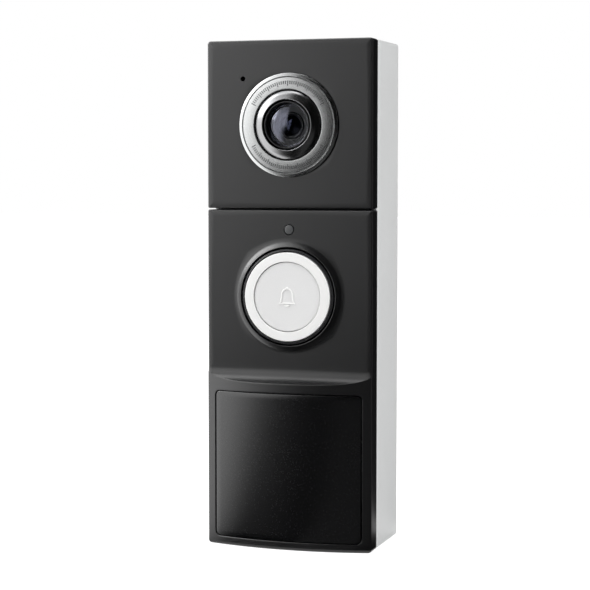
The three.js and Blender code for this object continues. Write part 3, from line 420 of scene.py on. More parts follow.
# %% [markdown]
# The lower cover's outside is three fields, each a grid: the flat field round the button, the scoop, and
# the arched field round the window with the step that the window sits in. Their shared points are equal, so
# they merge. A strip along the whole outline adds the rounded edge and the side wall. The inside is the
# same grids, pulled in by the wall, which makes a closed shell.

# %% Lower cover
COLLAR_RISE = 1.15
COLLAR_REACH = 1.6
COLLAR_RIM = 0.25
COLLAR_CURVE = 1.3
WINDOW_GROOVE = 0.25
WINDOW_THICK = 1.4
WINDOW_STEP = WINDOW_THICK + 0.3
WINDOW_LEDGE = 1.3
WINDOW_CORNER = 1.3
WINDOW_SOFT = 0.2
LOW = lower_low[:2] + EDGE
HIGH = lower_high[:2] - EDGE
# Where the inner skin leaves the outer one, at the sides, the top and the bottom, and over what height it
# goes from the flat field's level to the arch's.
INSIDE_A, INSIDE_TOP, INSIDE_BOTTOM = 22.9, 20.0, -72.7
INSIDE_RAMP = 1.5


def collar_rows(points, b, radius):
    """The wall of the button's opening, a soft rim on top, and the flare that falls to the flat front: its
    height at a share s of its reach is COLLAR_RISE (1 - s)^COLLAR_CURVE."""
    rows = mouth_rows(points, b, radius, COLLAR_RIM, FRONT + COLLAR_RISE)
    for s in np.linspace(0, 1, 14)[1:]:
        loop = circle_towards(points, b, radius + COLLAR_RIM + COLLAR_REACH * s)
        rows.append((loop, FRONT + COLLAR_RISE * (1 - s) ** COLLAR_CURVE))
    return rows


def button_field():
    """The flat field: a loft from the button opening to the cover's edge and to the start of the scoop."""
    points, normals = outline((LOW[0], SCOOP_B), HIGH, (0, 0, SPLIT_CORNER - EDGE, SPLIT_CORNER - EDGE))
    rows = collar_rows(points, BUTTON_B, BEZEL_RADIUS + RING_GROOVE)
    rows += blend_rows(rows[-1][0], points, FRONT, 7) + [(points, FRONT)]
    return rows, points, normals


def window_outline(grow):
    """The window's rounded outline, grown by an offset."""
    radius = WINDOW_CORNER + max(grow, -WINDOW_CORNER / 2)
    return outline(window_low[:2] - grow, window_high[:2] + grow, (radius,) * 4)[0]


def window_field(crest_end, end_b):
    """The arched field: a loft from the ledge behind the window, up its groove, to the cover's edge."""
    points, normals = outline(LOW, (HIGH[0], end_b), (CORNER - EDGE, CORNER - EDGE, 0, 0))
    top = side_slice(2)
    points[top, 1] = np.interp(points[top, 0], *crest_end)
    ledge, groove = window_outline(-WINDOW_LEDGE), window_outline(WINDOW_GROOVE)
    rows = [
        (ledge, arch(ledge[:, 0]) - WINDOW_SKIN),
        (ledge, arch(ledge[:, 0]) - WINDOW_STEP),
        (groove, arch(groove[:, 0]) - WINDOW_STEP),
    ]
    for out, down in quarter(WINDOW_SOFT):
        loop = window_outline(WINDOW_GROOVE + out)
        rows.append((loop, arch(loop[:, 0]) - down))
    inner = rows[-1][0]
    for w in np.linspace(0, 1, 12)[1:]:
        loop = (1 - w) * inner + w * points
        rows.append((loop, arch(loop[:, 0])))
    return rows, points, normals


def squeeze(values, start, end, target):
    """Leaves values up to start alone and maps start..end evenly onto start..target."""
    share = np.clip((values - start) / (end - start), 0, 1)
    return np.where((values - start) * (end - start) > 0, start + share * (target - start), values)


def inside_of(points):
    """The inner skin's point for each outer one: side walls come in by WALL, faces go back by the skin."""
    a, b, d = points.T
    a = np.sign(a) * squeeze(np.abs(a), INSIDE_A, HALF_WIDTH, HALF_WIDTH - WALL)
    b = squeeze(b, INSIDE_TOP, lower_high[1], lower_high[1] - WALL)
    b = squeeze(b, INSIDE_BOTTOM, lower_low[1], lower_low[1] + WALL)
    share = np.clip((SCOOP_B - BULGE - WALL - b) / INSIDE_RAMP, 0, 1)
    level = INNER + share * share * (3 - 2 * share) * (arch(a) - WINDOW_SKIN - INNER)
    return np.stack([a, b, np.minimum(d, level)], -1)


def lower_cover_surface():
    """The three fields, the edge strip and their inner skins, joined along the back rim."""
    flat_rows, flat_points, flat_normals = button_field()
    across = flat_points[side_slice(0), 0]
    scoop = scoop_curve(across)
    scoop_grid = np.concatenate([np.broadcast_to(across[None, :, None], scoop.shape[:2] + (1,)), scoop], -1)
    end = (across, scoop[-1, :, 0])
    arch_rows, arch_points, arch_normals = window_field(end, scoop[-1, 0, 0])

    total = len(flat_points)
    up = np.arange(side_slice(3)[0], side_slice(1)[-1] + 1 + total) % total
    over = np.arange(side_slice(1)[0], total + 1) % total
    rim = np.concatenate([
        np.column_stack([arch_points[up], arch(arch_points[up, 0])]),
        scoop_grid[::-1, -1],
        np.column_stack([flat_points[over], np.full(len(over), FRONT)]),
        scoop_grid[:, 0],
    ])
    facing = np.concatenate([
        arch_normals[up],
        np.tile([1.0, 0.0], (len(scoop_grid), 1)),
        flat_normals[over],
        np.tile([-1.0, 0.0], (len(scoop_grid), 1)),
    ])
    strip = [np.column_stack([rim[:, :2] + EDGE * (1 - inset) * facing, rim[:, 2] - EDGE * drop])
             for inset, drop in zip(EDGE_IN, EDGE_DOWN)]
    strip.append(np.column_stack([strip[-1][:, :2], np.full(len(rim), COVER_BACK)]))
    outer = gather(
        loft(flat_rows, wrap=False),
        loft(arch_rows, wrap=False),
        grid(scoop_grid),
        grid(np.stack(strip), wrap_columns=True),
    )
    inner = (inside_of(outer[0]), outer[1][:, ::-1])
    back = grid(np.stack([strip[-1], inside_of(strip[-1])]), wrap_columns=True)
    return gather(outer, inner, back)


# %% [markdown]
# The motion window is a sheet of the same arch with its own soft edges. Its loops shrink to a point in the
# middle, front and back.

# %% Motion window
WINDOW_EDGE = 0.22


def window_surface():
    """The window's outline carried over a rounded edge, and closed to its middle on both faces."""
    middle = np.array([0.0, (window_low[1] + window_high[1]) / 2])
    rim = window_outline(-WINDOW_EDGE)
    face = [middle + w * (rim - middle) for w in np.linspace(0, 1, 16)]
    rows = [(loop, arch(loop[:, 0])) for loop in face]
    for t in np.linspace(0, np.pi / 2, 5)[1:]:
        loop = window_outline(-WINDOW_EDGE * (1 - np.sin(t)))
        rows.append((loop, arch(loop[:, 0]) - WINDOW_EDGE * (1 - np.cos(t))))
    full = window_outline(0)
    rows.append((full, arch(full[:, 0]) - WINDOW_THICK))
    rows += [(loop, arch(loop[:, 0]) - WINDOW_THICK) for loop in face[-2::-5]]
    rows.append((face[0], arch(face[0][:, 0]) - WINDOW_THICK))
    return loft(rows, wrap=False)


# %% [markdown]
# A finish is a small program of shader nodes. To write it as plain arithmetic, one class wraps a socket and
# turns each operator into a Math node, and one method adds any other node from its type, its settings and
# the values or links of its sockets.

# %% Shader arithmetic


class Value:
    """A shader socket that can be used in Python arithmetic: each operator adds a Math node."""

    def __init__(self, recipe, socket):
        self.recipe, self.socket = recipe, socket

    def math(self, operation, *terms):
        return self.recipe.add("ShaderNodeMath", {"operation": operation}, dict(enumerate(terms)))

    def __add__(self, other):
        return self.math("ADD", self, other)

    def __sub__(self, other):
        return self.math("SUBTRACT", self, other)

    def __rsub__(self, other):
        return self.math("SUBTRACT", other, self)

    def __mul__(self, other):
        return self.math("MULTIPLY", self, other)

    def __truediv__(self, other):
        return self.math("DIVIDE", self, other)

    def __pow__(self, other):
        return self.math("POWER", self, other)

    __radd__, __rmul__ = __add__, __mul__

    def clamp(self):
        """Kept between 0 and 1."""
        return self.math("MAXIMUM", self.math("MINIMUM", self, 1.0), 0.0)


class Recipe:
    """One material while it is being written, or another owner of shader nodes."""

    def __init__(self, name, owner=None, shader="Principled BSDF"):
        self.material = owner or bpy.data.materials.new(name)
        self.material.use_nodes = True
        self.nodes, self.links = self.material.node_tree.nodes, self.material.node_tree.links
        self.shader = self.nodes[shader]

    def add(self, kind, settings, values, out=0):
        """Adds a node: its settings first, then the values or links of its sockets; returns one output."""
        made = self.nodes.new(kind)
        for key, value in settings.items():
            setattr(made, key, value)
        self.feed(made, values)
        return Value(self, made.outputs[out])

    def feed(self, made, values):
        """Sets sockets by name or number: a Value is linked, anything else is written into the socket."""
        for key, value in values.items():
            if isinstance(value, Value):
                self.links.new(value.socket, made.inputs[key])
            else:
                made.inputs[key].default_value = value

    def place(self):
        """The point on the piece, in metres in the frame."""
        return self.add("ShaderNodeTexCoord", {}, {}, "Object")

    def grain(self, size_mm, detail=2.0, roughness=0.5):
        """Even random noise with features of about size_mm."""
        values = {"Vector": self.place(), "Scale": 0.7 / (size_mm * MM), "Detail": detail}
        return self.add("ShaderNodeTexNoise", {}, {**values, "Roughness": roughness})

    def apart(self, middle):
        """The distances (x, y, z) from a point of the frame, in metres."""
        settings, values = {"operation": "SUBTRACT"}, {0: self.place(), 1: tuple(middle)}
        moved = self.add("ShaderNodeVectorMath", settings, values)
        made = self.nodes.new("ShaderNodeSeparateXYZ")
        self.feed(made, {0: moved})
        return [Value(self, socket) for socket in made.outputs]

    def mix(self, share, first, second):
        """A colour between two colours."""
        settings = {"data_type": "RGBA", "clamp_factor": True}
        return self.add("ShaderNodeMix", settings, {0: share, 6: first, 7: second}, 2)

    def bump(self, height, depth_mm, **normal):
        """A normal from a height between 0 and 1 that stands depth_mm tall, over another Normal if given."""
        values = {"Strength": 1.0, "Distance": depth_mm * MM, "Height": height, **normal}
        return self.add("ShaderNodeBump", {}, values)

    def soft_edges(self, radius_mm):
        """A normal that rounds the edges of a piece from the frame, whose own edges are sharp."""
        return self.add("ShaderNodeBevel", {"samples": 6}, {"Radius": radius_mm * MM})


def linear(colour):
    """A display colour, 0 to 255 for each channel, as the linear colour that a shader needs."""
    c = np.array(colour, float) / 255
    return (*np.where(c <= 0.04045, c / 12.92, ((c + 0.055) / 1.055) ** 2.4), 1.0)


def shades(colour, darker, lighter):
    """Two linear colours: one darker than the display colour by a share, and one lighter by a share."""
    base = np.array(linear(colour)[:3])
    return (*(base * (1 - darker)), 1.0), (*np.minimum(base * (1 + lighter), 1.0), 1.0)


print("mid grey is", linear((128, 128, 128))[0])

# %% [markdown]
# Moulded plastic is never one flat colour. Its mould has a fine spark-eroded grain, so the surface has tiny
# pits, the gloss changes from point to point, and the pigment clouds a little over centimetres. One recipe
# gives all of them, and each plastic has its own numbers.

# %% Moulded plastics
CLOUD_MM = 22.0


def moulded(name, colour, gloss, grain_mm=0.28, depth_mm=0.006, fleck=0.12, cloud=0.05, edges=0.0):
    """Plastic from a textured mould: colour flecked by the grain, roughness and bump from the same grain."""
    r = Recipe(name)
    fine, broad = r.grain(grain_mm, 3.0, 0.6), r.grain(CLOUD_MM, 1.0)
    share = (fine - 0.5) * 2.2 + 0.5 + (broad - 0.5) * (2 * cloud / max(fleck, 0.01))
    under = {"Normal": r.soft_edges(edges)} if edges else {}
    r.feed(r.shader, {
        "Base Color": r.mix(share.clamp(), *shades(colour, fleck, fleck)),
        "Roughness": (gloss + (fine - 0.5) * 0.16 + (broad - 0.5) * 0.06).clamp(),
        "Normal": r.bump(fine, depth_mm, **under),
    })
    return r.material


COVER = moulded("cover_satin_black", (12, 12, 13), 0.34, fleck=0.3, cloud=0.03, depth_mm=0.008)
WINDOW = moulded("window_gloss_black", (5, 5, 6), 0.25, 0.3, 0.003, 0.1, 0.02)
HOUSING = moulded("housing_light_grey", (205, 206, 206), 0.5, 0.3, 0.006, 0.02, 0.01)
PLATE = moulded("plate_grey", (186, 188, 188), 0.55, 0.35, 0.01, 0.03, 0.02, edges=0.2)
FRAME = moulded("frame_grey", (30, 31, 32), 0.6, 0.4, 0.01, 0.05, edges=0.2)
BEZEL = moulded("bezel_black", (24, 24, 26), 0.34, 0.2, 0.003, 0.1)
LENS_BLACK = moulded("lens_black", (14, 14, 16), 0.36, 0.15, 0.003, 0.1)
CAP = moulded("cap_pale_grey", (222, 222, 222), 0.42, 0.25, 0.004, 0.015, 0.01)
ICON = moulded("icon_white", (247, 247, 246), 0.4, 0.25, 0.003, 0.01, 0.0)
SMOKE = moulded("smoked_light_pipe", (62, 63, 64), 0.32, 0.3, 0.002, 0.06)
RUBBER = moulded("rubber_black", (34, 35, 36), 0.78, 0.5, 0.02, 0.12, edges=0.25)
SILICONE = moulded("silicone_grey", (143, 146, 148), 0.7, 0.6, 0.01, 0.05, edges=0.15)
LATCH = moulded("moulded_black", (36, 37, 38), 0.55, 0.4, 0.01, 0.1, edges=0.15)
WRAP = moulded("battery_wrap_blue", (44, 74, 122), 0.3, 6.0, 0.15, 0.06, edges=0.5)
LED = moulded("led_resin", (232, 224, 184), 0.3, 0.6, 0.004, 0.05, edges=0.1)


def glowing_white():
    """The light ring: milky plastic that scatters light under its skin, so that its edges look soft."""
    r = Recipe("ring_white")
    fine, broad = r.grain(0.3), r.grain(5.0)
    r.feed(r.shader, {
        "Base Color": r.mix(broad, linear((233, 233, 232)), linear((238, 238, 237))),
        "Roughness": 0.3 + (fine - 0.5) * 0.1,
        "Subsurface Weight": 0.25,
        "Subsurface Radius": (0.4, 0.4, 0.4),
        "Subsurface Scale": 0.001,
        "Normal": r.bump(fine, 0.002),
    })
    return r.material


RING_WHITE = glowing_white()

# %% [markdown]
# The ring round the lens is turned metal: a tool has left fine circular lines on its face, which spread
# each highlight into a band. The cone inside it is polished further. Both read the distance from the lens's
# axis.

# %% Turned metal


def turned_metal(name, colour, gloss, line_mm, depth_mm, streak, middle):
    """Metal with circular tool marks: noise along the distance from the axis, and a little round the turn."""
    r = Recipe(name)
    x, _, z = r.apart(middle)
    radius = (x * x + z * z) ** 0.5
    around = x.math("ARCTAN2", z, x)
    spot = r.add("ShaderNodeCombineXYZ", {}, {0: radius / (line_mm * MM), 1: around * 1.5, 2: 0.0})
    lines = r.add("ShaderNodeTexNoise", {}, {"Vector": spot, "Scale": 1.0, "Detail": 3.0, "Roughness": 0.7})
    r.feed(r.shader, {
        "Base Color": r.mix(lines, *shades(colour, streak, streak)),
        "Metallic": 1.0,
        "Roughness": (gloss + (lines - 0.5) * 0.12).clamp(),
        "Normal": r.bump(lines, depth_mm),
    })
    return r.material


LENS_AXIS = (0.0, 0.0, LENS_B * MM)
RING_METAL = turned_metal("brushed_ring", (148, 149, 149), 0.27, 0.10, 0.004, 0.10, LENS_AXIS)
CONE_METAL = turned_metal("polished_cone", (114, 114, 115), 0.24, 0.2, 0.001, 0.05, LENS_AXIS)


def plain_metal(name, colour, gloss):
    """Stamped or turned metal inside: even grain, slightly uneven polish, softened edges."""
    r = Recipe(name)
    fine, broad = r.grain(0.4), r.grain(6.0)
    r.feed(r.shader, {
        "Base Color": r.mix(broad, *shades(colour, 0.1, 0.08)),
        "Metallic": 1.0,
        "Roughness": (gloss + (fine - 0.5) * 0.2).clamp(),
        "Normal": r.soft_edges(0.12),
    })
    return r.material


STEEL = plain_metal("steel", (178, 180, 182), 0.34)
BRASS = plain_metal("brass", (196, 162, 92), 0.32)
COPPER = plain_metal("copper", (186, 124, 78), 0.38)


def circuit_board():
    """Green board: solder mask over tracks, drawn as a grid of lines bent by noise."""
    r = Recipe("board_green")
    x, _, z = r.apart((0, 0, 0))
    bend = r.grain(3.0)
    across, along = x / (0.9 * MM) + bend * 2.0, z / (1.3 * MM) + bend * 3.0
    tracks = x.math("ABSOLUTE", x.math("SINE", across) * x.math("SINE", along))
    share = ((tracks - 0.45) * 6.0).clamp()
    r.feed(r.shader, {
        "Base Color": r.mix(share, linear((24, 88, 58)), linear((44, 116, 76))),
        "Roughness": 0.32 + share * 0.1,
        "Normal": r.bump(share, 0.03),
    })
    return r.material


BOARD = circuit_board()

# %% [markdown]
# The lens is real glass: a dome in front, a smaller element behind a black stop. Coated glass gives a faint
# violet tint to what it reflects, and here the tint of the shader's own reflections does that.

# %% Glass


def glass(name, tint, coat_tint, gloss=0.02):
    """Clear glass with tinted reflections; faint dust marks keep the gloss from being perfect."""
    r = Recipe(name)
    dust = r.grain(1.2, 4.0, 0.7)
    r.feed(r.shader, {
        "Base Color": r.mix(dust, linear(tint), linear([min(255, c + 6) for c in tint])),
        "Roughness": (gloss + (dust - 0.62).clamp() * 0.2).clamp(),
        "Transmission Weight": 1.0,
        "IOR": 1.42,
        "Specular Tint": linear(coat_tint),
    })
    return r.material


DOME_GLASS = glass("lens_glass", (236, 237, 240), (222, 226, 250), 0.0)
INNER_GLASS = glass("lens_glass_inner", (14, 15, 20), (190, 200, 250))

# %% [markdown]
# Now the pieces themselves. The two covers and the window ride on the unit, the body that tips off the wall
# plate. The status light needs its own hole in the lower cover, and the microphone one in the upper.

# %% Build the covers and the window
upper_cover = piece("upper_cover", upper_cover_surface(), "unit", COVER, "upper_front_cover")
mic_low, mic_high = measure("microphone")
MIC = (mic_low + mic_high) / 2
MIC_HOLE = 0.75
drill(upper_cover, MIC[0], MIC[1], MIC_HOLE)

lower_cover = piece("lower_cover", lower_cover_surface(), "unit", COVER, "lower_front_cover")
status_low, status_high = measure("status_light_pipe")
STATUS = (status_low + status_high) / 2
STATUS_RADIUS = status_high[0]
STATUS_GAP = 0.22
drill(lower_cover, STATUS[0], STATUS[1], STATUS_RADIUS + STATUS_GAP)

piece("window_sheet", window_surface(), "unit", WINDOW, "motion_window")

# %% [markdown]
# The housing has openings and pockets that the frame already holds, but sharp edges. So its outside is made
# again as a closed block with soft corners, a rounded back edge and the shallow bevel in front. The part that
# the block and the frame's housing share is kept: soft outside, exact inside. The block is a hair smaller all
# round, by SHAVE, so that no two faces lie in one plane.

# %% Build the housing
LIP_DEPTH = 2.0
LIP_INSET = 0.35
SHAVE = 0.015
BACK_ROUND = 0.85
FACE_INSET = 0.89


def housing_block():
    """The outside of the housing: an outline carried from the back edge to the front lip, and closed."""
    points, normals = outline(housing_low[:2], housing_high[:2], (CORNER,) * 4)
    back, front = housing_low[2] + SHAVE, housing_high[2] - SHAVE
    section = rounded([
        (-FACE_INSET, back), (-SHAVE, back, BACK_ROUND), (-SHAVE, front - LIP_DEPTH, 0.12),
        (-SHAVE - LIP_INSET, front, 0.15), (-FACE_INSET, front),
    ], steps=7, closed=False)
    middle = np.tile((housing_low[:2] + housing_high[:2]) / 2, (len(points), 1))
    rows = [(points + offset * normals, depth) for offset, depth in section]
    return loft([(middle, back), *rows, (middle, front)], wrap=False)


def solid_copy(node):
    """A node of the frame as a new object with its equal points merged."""
    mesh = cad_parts[node].data.copy()
    bm = bmesh.new()
    bm.from_mesh(mesh)
    bmesh.ops.remove_doubles(bm, verts=bm.verts, dist=1e-7)
    bm.to_mesh(mesh)
    bm.free()
    return new_object(node + "_solid", mesh)


housing = piece("housing_shell", housing_block(), "unit", HOUSING, "rear_housing")
inner_copy = solid_copy("rear_housing")
inner_copy.data.materials.clear()
inner_copy.data.materials.append(HOUSING)
combine(housing, inner_copy, "INTERSECT", 32.0)

# %% [markdown]
# Round the lens stand two metal rings. The outer one has a flat face, a fine groove near its edge, and a
# skirt that slopes down over the cover; the inner one is a cone that leans in to the glass. Both are turned
# sections. The marks on the flat face are short printed strokes, plain graduations with no lettering.

# %% Build the lens rings


def levels(node):
    """A round node's outer radius, back depth and front depth."""
    low, high = measure(node)
    return (high[0] - low[0]) / 2, low[2], high[2]


skirt_r, trim_back, trim_front = levels("lens_trim_ring")
cone_r, cone_back, cone_front = levels("lens_cone_ring")
barrel_r, barrel_back, barrel_front = levels("lens_barrel")
RING_GAP = 0.3
TRIM_BORE = cone_r + RING_GAP
SKIRT_FOOT = FRONT + RING_GAP
rim_r = TRIM_RADIUS
piece("trim_ring", turned(rounded([
    (TRIM_BORE, trim_back), (rim_r, trim_back, 0.1), (rim_r, SKIRT_FOOT), (skirt_r - 0.15, SKIRT_FOOT),
    (skirt_r - 0.22, SKIRT_FOOT + 0.38, 0.08), (rim_r + 0.12, trim_front - 0.12, 0.07),
    (rim_r - 0.06, trim_front - 0.5, 0.03), (rim_r - 0.22, trim_front - 0.2, 0.07),
    (TRIM_BORE + 0.22, trim_front, 0.1), (TRIM_BORE, trim_front - 0.24, 0.08),
]), LENS_B, 256), "unit", RING_METAL, "lens_trim_ring", crease=50)

CONE_BORE = barrel_r + RING_GAP
piece("cone_ring", turned(rounded([
    (CONE_BORE, cone_back), (cone_r, cone_back), (cone_r, trim_front - 0.15, 0.1),
    (cone_r - 0.85, trim_front + 0.62, 0.5), (CONE_BORE + 0.2, cone_front, 0.1),
    (CONE_BORE, cone_front - 0.25, 0.1),
], steps=9), LENS_B, 256), "unit", CONE_METAL, "lens_cone_ring", crease=60)


MARKS, MARK_ARC = 41, 120
MARK_OUT, MARK_LONG, MARK_SHORT = rim_r - 1.2, rim_r - 2.7, rim_r - 2.7 + 0.5
MARK_HALF_WIDTH = 0.1
MARK_SINK, MARK_PROUD = 0.02, 0.012


def strokes(start):
    """Bars that end at one radius, evenly spaced from an angle on; every fifth is long. Each bar is a box of
    eight points, turned to its own angle."""
    angle = np.radians(np.linspace(start, start + MARK_ARC, MARKS))[:, None, None]
    inner = np.where(np.arange(MARKS) % 5 == 0, MARK_LONG, MARK_SHORT)[:, None, None]
    outer = np.full_like(inner, MARK_OUT)
    along = np.concatenate([inner, outer, outer, inner], 1)
    across = MARK_HALF_WIDTH * np.array([-1, -1, 1, 1])[None, :, None] + 0 * along
    a = along * np.cos(angle) - across * np.sin(angle)
    b = along * np.sin(angle) + across * np.cos(angle) + LENS_B
    back = np.concatenate([a, b, np.full_like(a, trim_front - MARK_SINK)], -1)
    points = np.concatenate([back, back + [0, 0, MARK_SINK + MARK_PROUD]], 1).reshape(-1, 3)
    box = np.array([[3, 2, 1, 0], [4, 5, 6, 7], [0, 1, 5, 4], [1, 2, 6, 5], [2, 3, 7, 6], [3, 0, 4, 7]])
    return points, (box[None] + 8 * np.arange(MARKS)[:, None, None]).reshape(-1, 4)


PRINT = moulded("ring_print_grey", (36, 37, 38), 0.5, 0.1, 0.001, 0.05)
marks = gather(strokes(30), strokes(210))
piece("ring_graduations", marks, "unit", PRINT, crease=20, merge=1e-5)

# %% [markdown]
# Inside the cone sits the barrel, a black tube whose inner wall is cut into steps that trap stray light. In
# it are the domed front glass, a black stop with a round window, and a small strongly curved lens.

# %% Build the lens
dome_r, dome_back, dome_front = levels("lens_front_glass")
mid_r, mid_back, mid_front = levels("lens_middle_element")
DOME_RIM = dome_back + 0.8
HOLLOW_RADIUS, HOLLOW_RISE = 5.6, 1.5
BARREL_STEP, BARREL_WALL = 0.42, 0.6


def barrel_section():
    """The barrel's half section: a plain outside, and inside small steps that narrow towards the back."""
    bore = dome_r + 0.12
    seat = dome_back - 0.12
    front = [(bore, seat), (bore, barrel_front - 0.35, 0.08), (bore + 0.22, barrel_front, 0.08)]
    outside = [(barrel_r - 0.25, barrel_front, 0.12), (barrel_r, barrel_front - 0.3, 0.1)]
    steps = []
    radius = bore - 0.55
    for k in range(3):
        depth = seat - BARREL_STEP * k
        steps += [(radius - 0.5 * k, depth), (radius - 0.5 * k, depth - BARREL_STEP)]
    floor = mid_front + 0.05
    wall = barrel_r - BARREL_WALL
    back = [(wall, barrel_back), (wall, floor), (radius - 1.5, floor)]
    return rounded(back + steps[::-1] + front + outside + [(barrel_r, barrel_back)])


def dome_section():
    """The front glass: a spherical cap over a short rim, with a hollow back so that it is a meniscus."""
    rise = dome_front - DOME_RIM
    ball = (dome_r**2 + rise**2) / (2 * rise)
    t = np.linspace(0, np.arcsin(dome_r / ball), 28)
    cap = np.stack([ball * np.sin(t), dome_front - ball * (1 - np.cos(t))], -1)
    s = np.linspace(1, 0, 20)
    hollow = np.stack([HOLLOW_RADIUS * s, dome_back + HOLLOW_RISE * (1 - s**2)], -1)
    return np.concatenate([cap, [[dome_r, dome_back]], hollow])


barrel_surface = turned(barrel_section(), LENS_B, 192)
piece("barrel", barrel_surface, "unit", LENS_BLACK, "lens_barrel", crease=40)
dome_surface = turned(dome_section(), LENS_B, 192)
piece("dome_glass", dome_surface, "unit", DOME_GLASS, "lens_front_glass", crease=50)

STOP, STOP_BORE = 3.5, 2.75
shelf = mid_back + 0.35
piece("lens_stop", turned(rounded([
    (STOP_BORE, shelf), (mid_r, shelf), (mid_r, mid_back + 1.1, 0.1), (STOP + 0.25, mid_back + 1.0, 0.1),
    (STOP + 0.05, mid_back + 1.45, 0.1), (STOP - 0.25, mid_back + 1.45, 0.08),
    (STOP_BORE, mid_back + 0.9, 0.1),
]), LENS_B, 128), "unit", BEZEL, "lens_middle_element", crease=45)


def bead_section(radius, back, rise, thick):
    """A small lens: a cap of the given rise on a flat back."""
    ball = (radius**2 + rise**2) / (2 * rise)
    t = np.linspace(0, np.arcsin(radius / ball), 20)
    cap = np.stack([ball * np.sin(t), back + thick + rise - ball * (1 - np.cos(t))], -1)
    return np.concatenate([cap, [[radius, back], [0, back]]])


bead = bead_section(radius=2.6, back=mid_back + 0.4, rise=0.85, thick=0.35)
piece("inner_lens", turned(bead, LENS_B, 96), "unit", INNER_GLASS, crease=50)

# %% [markdown]
# The button is a stack seen from the front: a dark ridged ring, the milky light ring, and the pale cap with
# a raised bell. Cap and bell ride on the button's own body, so they sink together when pressed.

# %% Build the button
bezel_r, bezel_back, bezel_front = levels("button_bezel_ring")
light_r, light_back, light_front = levels("light_ring")
cap_r, cap_back, cap_front = levels("doorbell_button")
CAP_FLANGE = 1.0
FLANGE_THICK = 0.8
CAP_DISH = 0.12
CAP_RADIUS = cap_r - CAP_FLANGE
BEZEL_BORE = light_r + RING_GAP
piece("bezel_ring", turned(rounded([
    (BEZEL_BORE, bezel_back), (bezel_r, bezel_back), (bezel_r, bezel_front - 0.35, 0.12),
    (bezel_r - 0.2, bezel_front - 0.05, 0.08), (bezel_r - 0.3, bezel_front - 0.16, 0.05),
    (bezel_r - 0.42, bezel_front, 0.08), (BEZEL_BORE + 0.08, bezel_front, 0.06),
    (BEZEL_BORE, bezel_front - 0.2, 0.06),
]), BUTTON_B, 256), "unit", BEZEL, "button_bezel_ring", crease=50)

LIGHT_BORE = CAP_RADIUS + RING_GAP
LIGHT_LIP = LIGHT_BORE - 0.14
pocket_r, pocket_top = cap_r + RING_GAP, cap_back + FLANGE_THICK + RING_GAP
piece("milky_ring", turned(rounded([
    (pocket_r, light_back), (light_r, light_back), (light_r, light_front - 0.05, 0.25),
    (LIGHT_LIP, light_front, 0.14), (LIGHT_LIP, light_front - 0.5, 0.1), (LIGHT_BORE, pocket_top),
    (pocket_r, pocket_top),
], steps=9), BUTTON_B, 256), "unit", RING_WHITE, "light_ring", crease=50)


def cap_section():
    """The cap: a very slightly dished face, a soft edge, the skirt with its flange, and the stem behind."""
    skirt, stem = CAP_RADIUS - 1.2, 2.0
    plunger_top = measure("switch_plunger")[1][2] + RING_GAP
    front = measure("bell_icon")[0][2] + RING_GAP
    under, flange = front - 1.6, cap_back + FLANGE_THICK
    s = np.linspace(0, 1, 12)
    face = np.stack([(CAP_RADIUS - 0.35) * s, front - CAP_DISH * (1 - s**2)], -1)
    rim = rounded([
        (CAP_RADIUS - 0.36, front), (CAP_RADIUS, front, 0.32), (CAP_RADIUS, flange, 0.1),
        (cap_r, flange, 0.1), (cap_r, cap_back, 0.1), (skirt, cap_back, 0.1), (skirt, under, 0.2),
        (stem, under, 0.1), (stem, plunger_top, 0.1), (0, plunger_top),
    ], closed=False)
    return np.concatenate([face, rim])


cap_surface = turned(cap_section(), BUTTON_B, 224)
piece("button_cap", cap_surface, "button", CAP, "doorbell_button", crease=50)

# %% [markdown]
# The bell is drawn by half its outline: a round crown and sides that flare out to the lip. The same line
# pulled in by the stroke gives the inner edge, so the bell is a raised outline. A round knob sits on top
# and a half round clapper hangs below.

# %% Build the bell
icon_low, icon_high = measure("bell_icon")
ICON_BACK, ICON_FRONT = cap_front - 0.5, icon_high[2]
STROKE = 0.36
CROWN = 1.85
LIP = 2.6
LIP_STROKE = 1.7
KNOB = 0.34
BELL_TOP = icon_high[1] - 0.4
BELL_BASE = icon_low[1] + 0.85


def bell_line(inset, steps=14):
    """Half the bell as (a, b): a quarter circle for the crown, then half widths that grow as the cube."""
    turn = np.linspace(0, np.pi / 2, steps)
    radius = CROWN - inset
    crown = np.stack([radius * np.sin(turn), BELL_TOP - CROWN + radius * np.cos(turn)], -1)
    t = np.linspace(0, 1, steps)[1:]
    low = BELL_BASE + inset
    flare = (LIP - LIP_STROKE * inset - radius) * t**3
    return np.concatenate([crown, np.stack([radius + flare, crown[-1, 1] + (low - crown[-1, 1]) * t], -1)])


def band(outer, inner, soft=0.09):
    """A closed loop with a soft top: outer wall, rounded top edge, inner wall and floor."""
    away = (outer - inner) / np.maximum(np.linalg.norm(outer - inner, axis=1, keepdims=True), 1e-6)
    walls, slope, top = ICON_FRONT - soft, ICON_FRONT - soft * 0.3, ICON_FRONT
    return loft([
        (outer, ICON_BACK), (outer, walls), (outer - soft * 0.3 * away, slope), (outer - soft * away, top),
        (inner + soft * away, top), (inner + soft * 0.3 * away, slope), (inner, walls), (inner, ICON_BACK),
    ])


def mirrored(half):
    """A half line as a full loop."""
    return np.concatenate([half, (half * [-1, 1])[::-1]])


def clapper():
    """Half a flat disc below the bell, with a rim that slopes in by a fifth."""
    middle, inside = np.array([0.0, BELL_BASE - 0.22]), [0, -0.2]
    turn = np.linspace(np.pi, 2 * np.pi, 24)
    disc = middle + 0.8 * np.stack([np.cos(turn), np.sin(turn) * 0.75], -1)
    top = middle + inside + (disc - middle - inside) * 0.8
    point = np.repeat(top.mean(0)[None], len(turn), 0)
    return loft([(top, ICON_BACK), (disc, ICON_BACK), (disc, ICON_FRONT - 0.08), (top, ICON_FRONT),
                 (point, ICON_FRONT), (point, ICON_BACK)])


